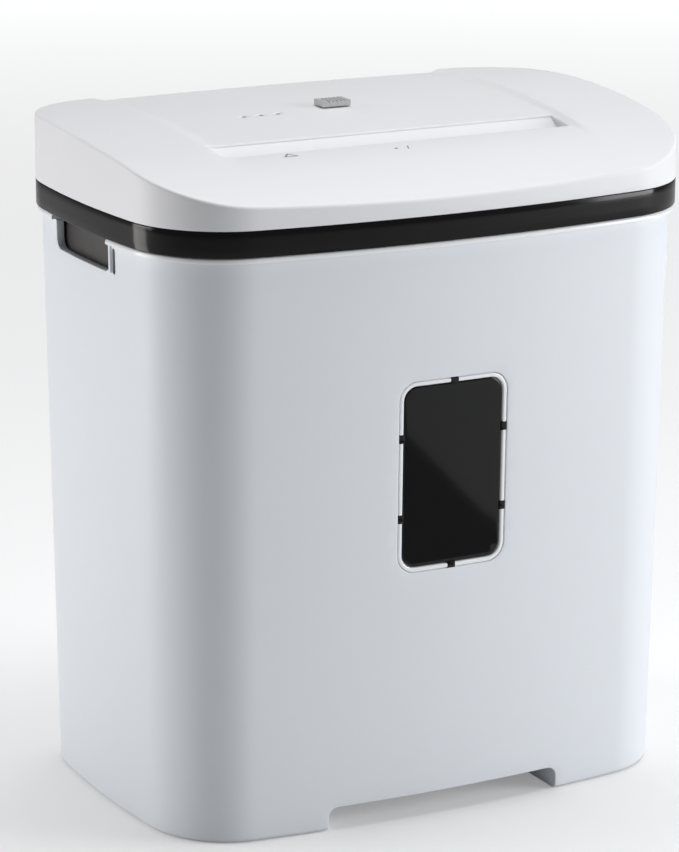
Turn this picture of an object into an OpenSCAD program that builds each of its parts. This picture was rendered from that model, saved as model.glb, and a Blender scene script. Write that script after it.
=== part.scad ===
// Paper shredder: a tapered bin with a lift-off shredding head.
// Millimetres, +Z up, X across the width, front face toward -Y.
// Origin: centre of the base, on the floor.

/* [Head outline] */
// Width of the head across the bowed sides
head_w = 352; // [340:1:430]
// Depth of the head from front to back
head_d = 246; // [240:1:300]
// How far the front and back faces bow outward
front_bow = 17; // [12:0.5:22]
// How far the side faces bow outward
side_bow = 12; // [8:0.5:16]
// Radius of the four upright corners
corner_r = 60; // [52:1:66]

/* [Bin] */
// Height of the bin up to its rim
bin_h = 340.6; // [300:0.1:420]
// Inset of the bin wall from the head at the floor
base_inset = 9.1; // [6:0.1:12]
// Inset of the bin wall from the head just under the rim
wall_inset = 3.5; // [3:0.1:4]
// Wall thickness of the bin
bin_wall = 2.5; // [2:0.1:3]
// Height of the lip round the rim
lip_h = 3; // [2:0.1:4]
// Inset of the lip from the head
lip_inset = 0.8; // [0.6:0.1:2]
// Width of the channel between the two feet
channel_w = 153; // [120:1:180]
// Height of the channel above the floor
channel_h = 14; // [10:0.5:20]
// Width of the finger cut-out in each side of the rim
grip_w = 74.6; // [60:0.1:84]
// Depth of the finger cut-out below the rim
grip_h = 19.6; // [14:0.1:22]
// Centre of the finger cut-out along the side
grip_y = 7.7; // [0:0.1:14]
// Thickness of the wall round the finger cut-out
grip_wall = 4.8; // [3.6:0.1:5.2]
// Width of the rib along the front edge of the finger cut-out
rib_w = 3.8; // [3:0.1:5]
// Inset of the rib's face from the head
rib_inset = 2.1; // [1.5:0.1:2.6]

/* [Window] */
// Width of the smoked pane
pane_w = 64; // [50:1:90]
// Height of the smoked pane
pane_h = 106; // [90:1:140]
// Thickness of the smoked pane
pane_t = 2; // [1.5:0.1:2.5]
// Height of the pane's centre above the floor
pane_z = 205; // [150:1:220]
// Width of the white frame round the pane
frame_w = 3.2; // [2.8:0.1:5]
// Corner radius of the pane
pane_r = 9; // [6:0.5:14]

/* [Head] */
// Height of the black band
band_h = 15; // [12:0.5:20]
// Wall thickness of the band
band_t = 2.8; // [2.4:0.1:3]
// Height of the cover's front edge above the band
front_rise = 9.4; // [8:0.2:14]
// Height of the cover above the band at the paper slot
slot_rise = 31.5; // [29:0.5:36]
// Height of the cover's crown above the band
crown_rise = 38.5; // [36:0.5:46]
// Height of the cover's back edge above the band
back_rise = 36; // [33:0.5:43]
// Thickness of the cover and the lower casing
shell_t = 2.5; // [2:0.1:3]
// Depth of the dish behind and round the slot
dish_depth = 2; // [1:0.1:3]
// Depth of the mechanism box below the casing's step
box_depth = 50; // [46:1:60]

/* [Paper path] */
// Length of the paper slot
slot_len = 225; // [220:1:240]
// Width of the throat that the paper passes
slot_gap = 6; // [5:0.1:7]
// Distance of the throat's centre in front of the middle
slot_y = 49; // [45:1:52]

/* [Cutters] */
// Distance between the two cutter shafts
shaft_gap = 36; // [34:0.5:37]
// Radius of the hook tips of a cutter disc
disc_r = 22.5; // [21.5:0.1:23]
// Width of one cutter disc
disc_w = 3.7; // [3.4:0.1:3.8]
// Pitch of the discs along a shaft
disc_pitch = 8; // [7.8:0.1:8]
// Number of discs on each shaft
disc_count = 28; // [20:1:28]
// Radius of a spacer between two discs
spacer_r = 12; // [10.5:0.1:12.2]
// Width across the flats of the hexagon shafts
hex_af = 14; // [12:0.5:15]
// Radius of the shaft journals
journal_r = 6; // [5:0.1:6.5]
// Thickness of a side plate
plate_t = 2; // [1.5:0.1:3]

/* [Drive] */
// Radius of the motor can
motor_r = 31; // [28:0.5:32]
// Length of the motor can
motor_len = 74; // [66:1:84]
// Radius of the motor shaft
motor_shaft_r = 3; // [2.5:0.1:3.5]
// Radius of the fixed gear pins
gear_pin_r = 4; // [3:0.1:4.5]
// Running clearance of shafts and gears in their bores
run_gap = 0.03; // [0.02:0.01:0.08]

/* [Hidden] */

$fn = 48;
corner_steps = 8;
front_steps = 6;
side_steps = 4;
body_gap = 0.3;
seat_gap = 0.05;
fit_gap = 0.1;
eps = 0.01;

// heights of the stacked parts
wall_top_z = bin_h - lip_h;
head_z = bin_h + body_gap;
cover_z = head_z + band_h;
front_z = cover_z + front_rise;
slot_z = cover_z + slot_rise;
crown_z = cover_z + crown_rise;
back_z = cover_z + back_rise;
top_z = crown_z + 10;
step_z = head_z - 29;
box_z = step_z - box_depth;
box_floor_z = box_z + shell_t;

// insets of the casing's walls from the head outline
skirt_inset = wall_inset + grip_wall + 0.8;
upper_inset = band_t + fit_gap;
box_inset = 20;

// outline arcs: one circle for each bowed face, one for each corner
half_w = head_w / 2;
half_d = head_d / 2;
front_r = (half_w * half_w + front_bow * front_bow) / (2 * front_bow);
side_r = (half_d * half_d + side_bow * side_bow) / (2 * side_bow);
front_c = [0, -half_d + front_r];
side_c = [half_w - side_r, 0];
arc_span = norm(front_c - side_c);
arc_along = (pow(front_r - corner_r, 2) - pow(side_r - corner_r, 2) + arc_span * arc_span)
    / (2 * arc_span);
arc_off = sqrt(pow(front_r - corner_r, 2) - arc_along * arc_along);
arc_dir = (side_c - front_c) / arc_span;
corner_c = front_c + arc_along * arc_dir + arc_off * [-arc_dir[1], arc_dir[0]];
corner_p = corner_c[1] < 0 ? corner_c
    : front_c + arc_along * arc_dir - arc_off * [-arc_dir[1], arc_dir[0]];
front_end = atan2(corner_p[1] - front_c[1], corner_p[0] - front_c[0]);
side_end = atan2(corner_p[1] - side_c[1], corner_p[0] - side_c[0]);

// cover profile: three smooth curves over the depth of the head
front_y = -half_d;
slot_knee_y = -46;
crown_y = 50;
function bezier(a, b, c, t) = (1 - t) * (1 - t) * a + 2 * t * (1 - t) * b + t * t * c;
front_knee = [front_y + 36.4, front_z + 15.3];
mid_knee = [6, crown_z - 0.2];
back_knee = [82, crown_z];
profile_steps = 7;
profile = concat(
    [for (k = [0:profile_steps - 1]) let (t = k / profile_steps)
        bezier([front_y, front_z], front_knee, [slot_knee_y, slot_z], t)],
    [for (k = [0:profile_steps - 1]) let (t = k / profile_steps)
        bezier([slot_knee_y, slot_z], mid_knee, [crown_y, crown_z], t)],
    [for (k = [0:profile_steps]) let (t = k / profile_steps)
        bezier([crown_y, crown_z], back_knee, [half_d, back_z], t)]
);
function main_z(y) = lookup(y, profile);
// slot and cutters
throat_y0 = -slot_y - slot_gap / 2;
throat_y1 = -slot_y + slot_gap / 2;
funnel_y = throat_y1 + 14;
chute_z = slot_z - 16.4;
axis_a_y = -slot_y - shaft_gap / 2;
axis_b_y = -slot_y + shaft_gap / 2;
axis_z = box_floor_z + 53.4;
cutter_len = disc_count * disc_pitch;
plate_x = slot_len / 2 + 7.5;
plate_out = plate_x + plate_t;
disc_root_r = disc_r - 4;
hook_count = 3;
rod_r = 2.5;
rod_out = plate_out + 4.6;
bar_w = 7;
bar_off = 19;
bar_rise = 24.2;
plate_y0 = axis_a_y - 24;
plate_y1 = 84;
plate_z1 = cover_z + 16;
guide_z0 = axis_z + disc_r + 5;
guide_z1 = chute_z - body_gap;
guide_wall = 3;

// gear train: teeth, modules and centres (y, z)
pressure = 25;
addendum = 0.8;
dedendum = 1.0;
tooth_slack = 0.12;
motor_teeth = 10;
first_big_teeth = 44;
first_small_teeth = 10;
second_big_teeth = 32;
second_small_teeth = 10;
drive_teeth = 25;
sync_teeth = 20;
fast_module = 1.25;
middle_module = 1.75;
slow_module = 2.25;
sync_module = shaft_gap / sync_teeth;
slow_dist = (second_small_teeth + drive_teeth) * slow_module / 2;
middle_dist = (first_small_teeth + second_big_teeth) * middle_module / 2;
fast_dist = (motor_teeth + first_big_teeth) * fast_module / 2;
axis_b = [axis_b_y, axis_z];
motor_c = axis_b + [76, 17];
second_c = axis_b + slow_dist * [cos(20), sin(20)];
train_span = norm(motor_c - second_c);
train_dir = (motor_c - second_c) / train_span;
train_along = (middle_dist * middle_dist - fast_dist * fast_dist + train_span * train_span)
    / (2 * train_span);
train_off = sqrt(middle_dist * middle_dist - train_along * train_along);
first_c = second_c + train_along * train_dir + train_off * [train_dir[1], -train_dir[0]];
fast_x = plate_out + 3;
fast_w = 5.5;
middle_x = fast_x + fast_w + 0.6;
middle_w = 6;
slow_x = middle_x + middle_w + 0.6;
slow_w = 7;
bridge_x = slow_x + slow_w + 1.4;
bridge_t = 2;
sync_x = -plate_out - 2.4;
sync_w = 8;

// control group behind the slot
knob_y = 30;
knob_stroke = 5;
knob_w = 18;
lamp_x = -62;
lamp_pitch = 11;
lamp_y = 22;
lamp_r = 1.5;
pan_t = 2.7;
pan_z = main_z(knob_y) - dish_depth;
board_z = pan_z - pan_t - 13;
board_t = 1.6;

// interlock plunger at the right side
plunger_y = 40;
plunger_x = side_x(plunger_y, 0) - 16;
plunger_r = 3;
plunger_stroke = 4;
plunger_tip_z = step_z - 6;
collar_z = step_z + shell_t + 0.6 + plunger_stroke;
switch_z = collar_z + 11;

function arc_pts(c, r, a0, a1, n) = [for (i = [0:n - 1]) c + r * [cos(a0 + (a1 - a0) * i / n), sin(a0 + (a1 - a0) * i / n)]];
// one quarter of the outline, from the middle of the front to the middle of the right side
function quarter(i) = concat(
    arc_pts(front_c, front_r - i, -90, front_end, front_steps),
    arc_pts(corner_p, corner_r - i, front_end, side_end, corner_steps),
    arc_pts(side_c, side_r - i, side_end, 0, side_steps)
);
function flip_y(p) = [for (k = [len(p) - 1:-1:0]) [p[k][0], -p[k][1]]];
function flip_x(p) = [for (k = [len(p) - 1:-1:0]) [-p[k][0], p[k][1]]];
function right_half(i) = concat(quarter(i), [[half_w - i, 0]], [for (k = [len(quarter(i)) - 1:-1:0]) [quarter(i)[k][0], -quarter(i)[k][1]]]);
// the whole outline, drawn in by i
function ring(i) = let (h = right_half(i), m = len(h))
    concat(h, [for (k = [m - 2:-1:1]) [-h[k][0], h[k][1]]]);
// half width of the outline at y, drawn in by i
function side_x(y, i) = side_c[0] + sqrt(pow(side_r - i, 2) - y * y);
// distance from the middle to the front face at x, drawn in by i
function face_y(x, i) = -front_c[1] + sqrt(pow(front_r - i, 2) - x * x);

// depth of the dish below the cover: fades in toward the slot
dish_y0 = -slot_y - 31;
function dish(y) = y < dish_y0 ? 0 : y > throat_y0 ? dish_depth
    : dish_depth * pow((y - dish_y0) / (throat_y0 - dish_y0), 2);
dish_half = slot_len / 2 + 3;

// turns a shape drawn in (y, z) so that it is extruded toward +X
module along_x(x, y = 0, z = 0) {
    translate([x, y, z]) rotate([90, 0, 90]) children();
}

// turns a shape drawn in (x, z) so that it is extruded toward +Y
module along_y(y, x = 0, z = 0) {
    translate([x, y, z]) rotate([90, 0, 180]) mirror([1, 0, 0]) children();
}

module rod_x(x0, x1, y, z, r) {
    along_x(x0, y, z) cylinder(h = x1 - x0, r = r);
}

module slab(z0, z1, i) {
    translate([0, 0, z0]) linear_extrude(height = z1 - z0) polygon(ring(i));
}

module rounded(w, h, r) {
    square([w - 2 * r, h], center = true);
    square([w, h - 2 * r], center = true);
    for (sx = [-1, 1], sy = [-1, 1]) translate([sx * (w / 2 - r), sy * (h / 2 - r)]) circle(r = r);
}

// a wall that leans: the outline is i0 at z0 and i1 at z1
module leaning(z0, i0, z1, i1) {
    a = ring(i0);
    b = ring(i1);
    n = len(a);
    polyhedron(
        points = concat([for (p = a) [p[0], p[1], z0]], [for (p = b) [p[0], p[1], z1]]),
        faces = concat(
            [[for (k = [0:n - 1]) k]],
            [[for (k = [n - 1:-1:0]) n + k]],
            [for (k = [0:n - 1]) [k, n + k, n + (k + 1) % n, (k + 1) % n]]
        )
    );
}

function lean_inset(z) = base_inset + (wall_inset - base_inset) * z / wall_top_z;
lean_angle = atan((base_inset - wall_inset) / wall_top_z);

// places a shape drawn in (x, z) on the leaning front wall, extruded inward from the wall's face
module on_front(z, depth = 0) {
    translate([0, -(half_d - lean_inset(z)) + depth, z]) rotate([90 + lean_angle, 0, 0])
        mirror([0, 0, 1]) children();
}

module bin() {
    frame_pad = 3;
    frame_h = pane_h + 2 * frame_w;
    post_z = plunger_tip_z - body_gap;
    grip_pad = grip_w + 8;
    groove_y = grip_y - grip_w / 2 - 1.5 * rib_w;
    color("#d9dde0") difference() {
        union() {
            difference() {
                union() {
                    leaning(0, base_inset, wall_top_z, wall_inset);
                    slab(wall_top_z, bin_h, lip_inset);
                }
                difference() {
                    leaning(-1, lean_inset(-1) + bin_wall, wall_top_z + eps, wall_inset + bin_wall);
                    translate([-half_w, -half_d, -2]) cube([head_w, head_d, 2 + bin_wall]);
                    translate([-channel_w / 2 - bin_wall, -half_d, -2])
                        cube([channel_w + 2 * bin_wall, head_d, 2 + channel_h + bin_wall]);
                }
                slab(wall_top_z - eps, bin_h + 1, wall_inset + bin_wall);
            }
            on_front(pane_z, bin_wall - 0.5) linear_extrude(height = frame_pad + 0.5)
                rounded(pane_w + 2 * frame_w + 8, frame_h + 8, pane_r + 6);
            translate([plunger_x - 3.2, plunger_y - 4, post_z - 28])
                cube([side_x(plunger_y, lean_inset(post_z) + 1) - plunger_x + 3.2, 8, 28]);
            for (s = [-1, 1]) scale_side(s) intersection() {
                difference() {
                    leaning(0, base_inset, wall_top_z + eps, wall_inset);
                    leaning(-1, lean_inset(-1) + grip_wall, wall_top_z + 1, wall_inset + grip_wall);
                }
                translate([half_w - 24, grip_y - grip_pad / 2, bin_h - grip_h - 4]) cube([30, grip_pad, 60]);
            }
            for (s = [-1, 1]) scale_side(s) intersection() {
                difference() {
                    slab(bin_h - grip_h, bin_h, rib_inset);
                    slab(bin_h - grip_h - 1, bin_h + 1, wall_inset + 1);
                }
                translate([half_w - 24, grip_y - grip_w / 2 - rib_w, bin_h - grip_h]) cube([30, rib_w + 1, grip_h]);
            }
            for (s = [-1, 1]) scale_side(s) intersection() {
                difference() {
                    slab(wall_top_z, bin_h, wall_inset);
                    slab(wall_top_z - 1, bin_h + 1, wall_inset + grip_wall);
                }
                translate([half_w - 24, grip_y - grip_pad / 2, bin_h - grip_h - 4]) cube([30, grip_pad, 60]);
            }
        }
        along_y(-half_d - 1) linear_extrude(height = head_d + 2) {
            translate([-channel_w / 2, -20]) square([channel_w, 20 + channel_h - 6]);
            translate([-channel_w / 2 + 6, -20]) square([channel_w - 12, 20 + channel_h]);
            for (s = [-1, 1]) translate([s * (channel_w / 2 - 6), channel_h - 6]) circle(r = 6);
        }
        on_front(pane_z, -3) linear_extrude(height = 3 + 1.2)
            rounded(pane_w + 2 * frame_w, frame_h, pane_r + 3);
        on_front(pane_z, 0) linear_extrude(height = 0.7 + pane_t + 0.2)
            rounded(pane_w + 2 * fit_gap, pane_h + 2 * fit_gap, pane_r);
        on_front(pane_z, 0) linear_extrude(height = 20) rounded(pane_w - 8, pane_h - 8, pane_r - 3);
        pane_tabs(fit_gap, 20);
        for (s = [-1, 1]) scale_side(s) {
            along_x(half_w - 24, grip_y, bin_h - grip_h) linear_extrude(height = 30) {
                translate([-grip_w / 2, 6]) square([grip_w, grip_h]);
                translate([-grip_w / 2 + 6, 0]) square([grip_w - 12, grip_h]);
                for (k = [-1, 1]) translate([k * (grip_w / 2 - 6), 6]) circle(r = 6);
            }
            along_x(side_x(groove_y, wall_inset + 1.1), groove_y, bin_h - grip_h) linear_extrude(height = 10) {
                translate([-rib_w / 2, 1.6]) square([rib_w, 12.6]);
                translate([0, 1.6]) circle(r = rib_w / 2);
            }
        }
    }
}

module scale_side(s) {
    if (s > 0) children();
    else mirror([1, 0, 0]) children();
}

// six snap tabs round the pane, drawn grown by g and d deep
module pane_tabs(g, d) {
    reach = frame_w - 0.4;
    for (s = [-1, 1]) {
        on_front(pane_z, 0.6) translate([-2.6 - g, s > 0 ? pane_h / 2 - 1 - g : -pane_h / 2 - reach - g, 0])
            linear_extrude(height = d) square([5.2 + 2 * g, reach + 1 + 2 * g]);
        for (z = [-1, 1]) on_front(pane_z, 0.6)
            translate([s > 0 ? pane_w / 2 - 1 - g : -pane_w / 2 - reach - g, z * 23.5 - 2.6 - g, 0])
                linear_extrude(height = d) square([reach + 1 + 2 * g, 5.2 + 2 * g]);
    }
}

module window_pane() {
    color("#1f1f21") union() {
        on_front(pane_z, 0.7) linear_extrude(height = pane_t) rounded(pane_w, pane_h, pane_r - fit_gap);
        pane_tabs(0, bin_wall + 4);
    }
}

module trim_band() {
    color("#151416") difference() {
        slab(head_z, cover_z - seat_gap, 0);
        slab(head_z - 1, cover_z + 1, band_t);
    }
}

// everything under the cover's surface, lowered by drop
module dome(i, drop) {
    intersection() {
        slab(cover_z, top_z, i);
        along_x(-half_w - 1) linear_extrude(height = head_w + 2)
            polygon(concat([[front_y - 5, cover_z - 1]], [[front_y - 5, front_z - drop]],
                [for (p = profile) [p[0], p[1] - drop]],
                [[half_d + 5, back_z - drop], [half_d + 5, cover_z - 1]]));
    }
}

// the space above the dish, lowered by drop
module dish_space(w, drop) {
    along_x(-w) linear_extrude(height = 2 * w)
        polygon(concat(
            [for (k = [0:8]) let (y = dish_y0 + (throat_y0 - dish_y0) * k / 8) [y, main_z(y) - dish(y) - drop]],
            [for (p = profile) if (p[0] > throat_y0 + 1) [p[0], p[1] - dish_depth - drop]],
            [[half_d + 5, back_z - dish_depth - drop], [half_d + 5, top_z + 5], [dish_y0, top_z + 5]]
        ));
}

// screw places: four corners and the middles of the front and back
screw_ring = ring(14.85);
corner_k = front_steps + corner_steps / 2;
ring_n = 4 * (front_steps + corner_steps + side_steps);
screw_spots = [
    screw_ring[0], screw_ring[corner_k], screw_ring[ring_n / 2 - corner_k],
    screw_ring[ring_n / 2], screw_ring[ring_n / 2 + corner_k], screw_ring[ring_n - corner_k]
];
screw_r = 1.9;
boss_r = 4.5;
board_posts = [[-70, 15], [18, 15], [-70, 41], [18, 41]];
gland_x = -60;
gland_z = cover_z + 13;
gland_r = 6;
gland_bore_r = 3.6;
gland_y = face_y(gland_x, 0);

// round at the top and open or square at the cover's lower edge, grown below it by g
module gland_2d(r, g) {
    circle(r = r);
    translate([-r, cover_z - g - gland_z]) square([2 * r, gland_z - cover_z + g]);
}

module head_cover() {
    color("#e4e4e8") difference() {
        dome(0, 0);
        difference() {
            translate([0, 0, -eps]) dome(shell_t, shell_t);
            dish_space(dish_half + shell_t, pan_t);
            for (p = screw_spots) translate([p[0], p[1], cover_z]) cylinder(h = 60, r = boss_r);
            translate([-slot_len / 2 - shell_t, throat_y0 - shell_t, chute_z])
                cube([slot_len + 2 * shell_t, funnel_y + 1 - throat_y0 + shell_t, 60]);
            for (p = board_posts) translate([p[0], p[1], board_z + board_t]) cylinder(h = 60, r = 3);
            along_y(gland_y - 12, gland_x, gland_z) cylinder(h = 20, r = gland_r + 6);
        }
        dish_space(dish_half, 0);
        along_x(-slot_len / 2) linear_extrude(height = slot_len) polygon([
            [throat_y0, chute_z - 1], [throat_y1, chute_z - 1], [throat_y1, chute_z + 5],
            [funnel_y, slot_z], [funnel_y + 5, top_z], [throat_y0, top_z]
        ]);
        for (p = screw_spots) translate([p[0], p[1], cover_z - 1]) cylinder(h = 8, r = screw_r + seat_gap);
        for (p = board_posts) translate([p[0], p[1], board_z]) cylinder(h = 8, r = 1.25);
        translate([-knob_stroke - 3, knob_y - 1.8, pan_z - 10]) cube([2 * knob_stroke + 6, 3.6, 20]);
        for (k = [0:2]) translate([lamp_x + k * lamp_pitch, lamp_y, pan_z - 10])
            cylinder(h = 20, r = lamp_r + seat_gap);
        along_y(gland_y - 20, gland_x, gland_z) linear_extrude(height = 30) gland_2d(gland_r + seat_gap, 1);
        along_y(gland_y - 3, gland_x, gland_z) linear_extrude(height = 10) gland_2d(gland_r + 3.3, 1);
    }
}

outlet_y0 = axis_a_y - disc_r - 1.5;
outlet_y1 = axis_b_y + disc_r + 1.5;
outlet_x = cutter_len / 2 + 4;
board_spots = [[-106, 12], [-8, 12], [-106, 76], [-8, 76]];
power_z = box_floor_z + 12;
foot_x = [-plate_out - 9, plate_out + 9];

module lower_casing() {
    color("#242326") difference() {
        union() {
            difference() {
                union() {
                    slab(box_z, step_z + shell_t, box_inset);
                    slab(step_z, head_z + shell_t, skirt_inset);
                    slab(head_z, cover_z - seat_gap, upper_inset);
                }
                slab(box_floor_z, step_z + shell_t + eps, box_inset + shell_t);
                slab(step_z + shell_t, head_z + shell_t + eps, skirt_inset + shell_t);
                slab(head_z + shell_t, cover_z + 1, upper_inset + shell_t);
            }
            for (p = screw_spots) translate([p[0], p[1], step_z]) cylinder(h = cover_z - seat_gap - step_z, r = boss_r);
            for (p = board_spots) translate([p[0], p[1], box_floor_z - 1])
                cylinder(h = power_z - box_floor_z + 1 - seat_gap, r = 3.5);
            translate([plunger_x, plunger_y, step_z]) cylinder(h = shell_t + 0.4, r = plunger_r + 1.6);
            for (s = [-1, 1]) translate([plunger_x - 3.5, plunger_y + s * 9.5 - 2.5, step_z + 1])
                cube([7, 5, switch_z - seat_gap - step_z - 1]);
            for (x = foot_x, y = [-24, 62]) translate([x, y, box_floor_z - 1]) cylinder(h = 5, r = 4);
        }
        translate([-outlet_x, outlet_y0, box_z - 1]) cube([2 * outlet_x, outlet_y1 - outlet_y0, shell_t + 2]);
        for (p = screw_spots) {
            translate([p[0], p[1], step_z - 1]) cylinder(h = 60, r = screw_r + 0.2);
            translate([p[0], p[1], step_z - 1]) cylinder(h = 19, r = 3.6);
        }
        for (p = board_spots) translate([p[0], p[1], box_floor_z + 2]) cylinder(h = 20, r = 1.25);
        for (x = foot_x, y = [-24, 62]) translate([x, y, box_z + 1]) cylinder(h = 20, r = 1.25);
        translate([plunger_x, plunger_y, step_z - 1]) cylinder(h = 8, r = plunger_r + run_gap);
        for (s = [-1, 1]) translate([plunger_x, plunger_y + s * 9.5, switch_z - 8]) cylinder(h = 10, r = 1.05);
        for (k = [0:8]) translate([30 + k * 8, 20, box_z - 1]) cube([3, 50, shell_t + 2]);
    }
}

module cord_gland() {
    color("#1b1b1d") difference() {
        union() {
            along_y(gland_y - 15, gland_x, gland_z) linear_extrude(height = 14) gland_2d(gland_r, -seat_gap);
            along_y(gland_y - 2.9, gland_x, gland_z) linear_extrude(height = 2.3) gland_2d(gland_r + 3, -seat_gap);
            along_y(gland_y - 15, gland_x, gland_z) linear_extrude(height = 2.8) gland_2d(gland_r + 1.5, -seat_gap);
        }
        along_y(gland_y - 20, gland_x, gland_z) cylinder(h = 30, r = gland_bore_r);
    }
}

flag_y = throat_y1 + 7.5;
flag_z = guide_z0 + 12.5;
flag_hub_r = 3.5;
pin_r = 1.2;

module throat_guide() {
    x1 = slot_len / 2 + guide_wall;
    color("#1d1c1f") difference() {
        union() {
            translate([-x1, throat_y0 - guide_wall, guide_z0])
                cube([2 * x1, slot_gap + 2 * guide_wall, guide_z1 - guide_z0]);
            translate([-plate_x + seat_gap, -slot_y - 7, guide_z0 + 4]) cube([2 * plate_x - 2 * seat_gap, 14, 14]);
            for (s = [-1, 1]) translate([s * 4.8 - 1.5, throat_y1, flag_z - 5]) cube([3, 11.5, 10]);
        }
        translate([-slot_len / 2, throat_y0, guide_z0 - 1]) cube([slot_len, slot_gap, guide_z1 - guide_z0 + 2]);
        translate([-3.3, throat_y1 - 1, guide_z0 - 1]) cube([6.6, 16, flag_z + 9 - guide_z0]);
        rod_x(-10, 10, flag_y, flag_z, pin_r + seat_gap);
        for (s = [-1, 1]) rod_x(s * plate_x - 10, s * plate_x + 10, -slot_y - 4.8, guide_z0 + 11, 1.25);
    }
}

module plate_outline() {
    polygon([
        [plate_y0 + 8, box_floor_z + seat_gap], [plate_y1, box_floor_z + seat_gap],
        [plate_y1, plate_z1 - 14], [plate_y1 - 16, plate_z1], [plate_y0 + 20, plate_z1],
        [plate_y0, plate_z1 - 20], [plate_y0, box_floor_z + 20]
    ]);
}

bush_r = 9;
rod_spots = [
    [axis_a_y - bar_off, axis_z + bar_rise], [axis_a_y - bar_off, axis_z - bar_rise],
    [axis_b_y + bar_off, axis_z + bar_rise], [axis_b_y + bar_off, axis_z - bar_rise],
    [plate_y1 - 6, box_floor_z + 46]
];
bridge_spots = [first_c + [-31, -14], motor_c + [12, 20], second_c + [2, 34]];

module plate_holes() {
    for (y = [axis_a_y, axis_b_y]) rod_x(-200, 200, y, axis_z, bush_r + seat_gap);
    for (p = rod_spots) rod_x(-200, 200, p[0], p[1], rod_r + 0.2);
    rod_x(-200, 200, -slot_y - 4.8, guide_z0 + 11, 1.7);
}

module side_plate(x) {
    foot_w = 18;
    s = x > 0 ? 1 : -1;
    along_x(x > 0 ? x : x - plate_t) linear_extrude(height = plate_t) plate_outline();
    for (y = [-24, 62]) translate([s > 0 ? x : x - foot_w, y - 8, box_floor_z + 4 + seat_gap])
        cube([foot_w, 16, plate_t]);
}

module side_plate_left() {
    color("#b8bcc0") difference() {
        side_plate(-plate_x);
        plate_holes();
        for (y = [-24, 62]) translate([foot_x[0], y, box_floor_z]) cylinder(h = 20, r = 1.7);
    }
}

module side_plate_right() {
    color("#b8bcc0") difference() {
        side_plate(plate_x);
        plate_holes();
        rod_x(100, 140, motor_c[0], motor_c[1], 10.2);
        for (a = [-1, 1]) rod_x(100, 140, motor_c[0] + a * 20, motor_c[1], 2.2);
        for (c = [first_c, second_c]) rod_x(100, 140, c[0], c[1], gear_pin_r + seat_gap);
        for (c = bridge_spots) rod_x(100, 140, c[0], c[1], 1.5 + seat_gap);
        for (y = [-24, 62]) translate([foot_x[1], y, box_floor_z]) cylinder(h = 20, r = 1.7);
    }
}

module tie_rods() {
    color("#9a9ea2") for (p = rod_spots) rod_x(-rod_out, rod_out, p[0], p[1], rod_r);
}

module tie_rod_nuts() {
    color("#c9c4a8") for (p = rod_spots, s = [-1, 1]) difference() {
        along_x(s > 0 ? plate_out + seat_gap : -plate_out - seat_gap - 4, p[0], p[1]) cylinder(h = 4, r = 4.3, $fn = 6);
        rod_x(-200, 200, p[0], p[1], rod_r + seat_gap);
    }
}

module shaft_bushes() {
    color("#b08d57") for (y = [axis_a_y, axis_b_y], s = [-1, 1]) difference() {
        union() {
            rod_x(s > 0 ? plate_x - 2 : -plate_out - 0.4, s > 0 ? plate_out + 0.4 : -plate_x + 2, y, axis_z, bush_r);
            rod_x(s > 0 ? plate_x - 2 : -plate_x + seat_gap, s > 0 ? plate_x - seat_gap : -plate_x + 2, y, axis_z, bush_r + 2);
        }
        rod_x(-200, 200, y, axis_z, journal_r + run_gap);
    }
}

// disc k of a shaft starts here; the rear shaft's discs sit between the front shaft's
function disc_x(k, half) = -cutter_len / 2 + k * disc_pitch + (half ? disc_pitch / 2 : 0);

// a ladder of fingers that reach in between the discs of the shaft at y
module comb(y, s, half) {
    finger_w = disc_pitch - disc_w - 1.1;
    bar_x = plate_x - 0.4;
    difference() {
        union() {
            for (z = [-1, 1]) along_x(-bar_x) linear_extrude(height = 2 * bar_x)
                translate([y + s * bar_off, axis_z + z * bar_rise]) square([bar_w, bar_w], center = true);
            for (k = [0:disc_count - (half ? 2 : 1)]) let (x = disc_x(k, half) + disc_w + 0.55)
                if (x + finger_w < cutter_len / 2 + 4)
                    translate([x, min(y + s * 9, y + s * (bar_off + bar_w / 2)), axis_z - bar_rise - 1])
                        cube([finger_w, bar_off + bar_w / 2 - 9, 2 * bar_rise + 2]);
        }
        rod_x(-200, 200, y, axis_z, spacer_r + 0.6);
        for (z = [-1, 1]) rod_x(-200, 200, y + s * bar_off, axis_z + z * bar_rise, rod_r + seat_gap);
    }
}

module comb_front() {
    color("#2c2c30") comb(axis_a_y, -1, false);
}

module comb_rear() {
    color("#2c2c30") comb(axis_b_y, 1, true);
}

module hexagon(af) {
    circle(r = af / 2 / cos(30), $fn = 6);
}

module cutter_shaft(y, x_left, x_right) {
    body_x = plate_x - 2.4;
    along_x(-body_x, y, axis_z) linear_extrude(height = 2 * body_x) hexagon(hex_af);
    rod_x(-body_x - x_left, body_x + x_right, y, axis_z, journal_r);
}

sync_reach = 2.4 + plate_t + 2.4 + sync_w + 2.2;
drive_reach = slow_x + slow_w - plate_x + 2.4 + 0.6;

module cutter_shaft_front() {
    color("#a7aab0") cutter_shaft(axis_a_y, sync_reach, 2.4 + plate_t + 2.8);
}

module cutter_shaft_rear() {
    color("#a7aab0") cutter_shaft(axis_b_y, sync_reach, drive_reach);
}

// hooked outline of a cutter disc
function hook(k) = let (a = k * 360 / hook_count) [
    for (p = [[0, disc_r], [1, disc_root_r - 1.5], [9, disc_root_r - 0.8], [18, disc_root_r],
        [40, disc_root_r + 0.6], [62, disc_root_r + 1], [84, disc_root_r + 1.4], [102, disc_root_r + 2.2],
        [113, disc_r - 0.6]]) p[1] * [cos(a + p[0]), sin(a + p[0])]
];

module disc_2d(turn) {
    difference() {
        rotate(turn) polygon([for (k = [0:hook_count - 1], p = hook(k)) p]);
        hexagon(hex_af + 0.1);
    }
}

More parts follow.
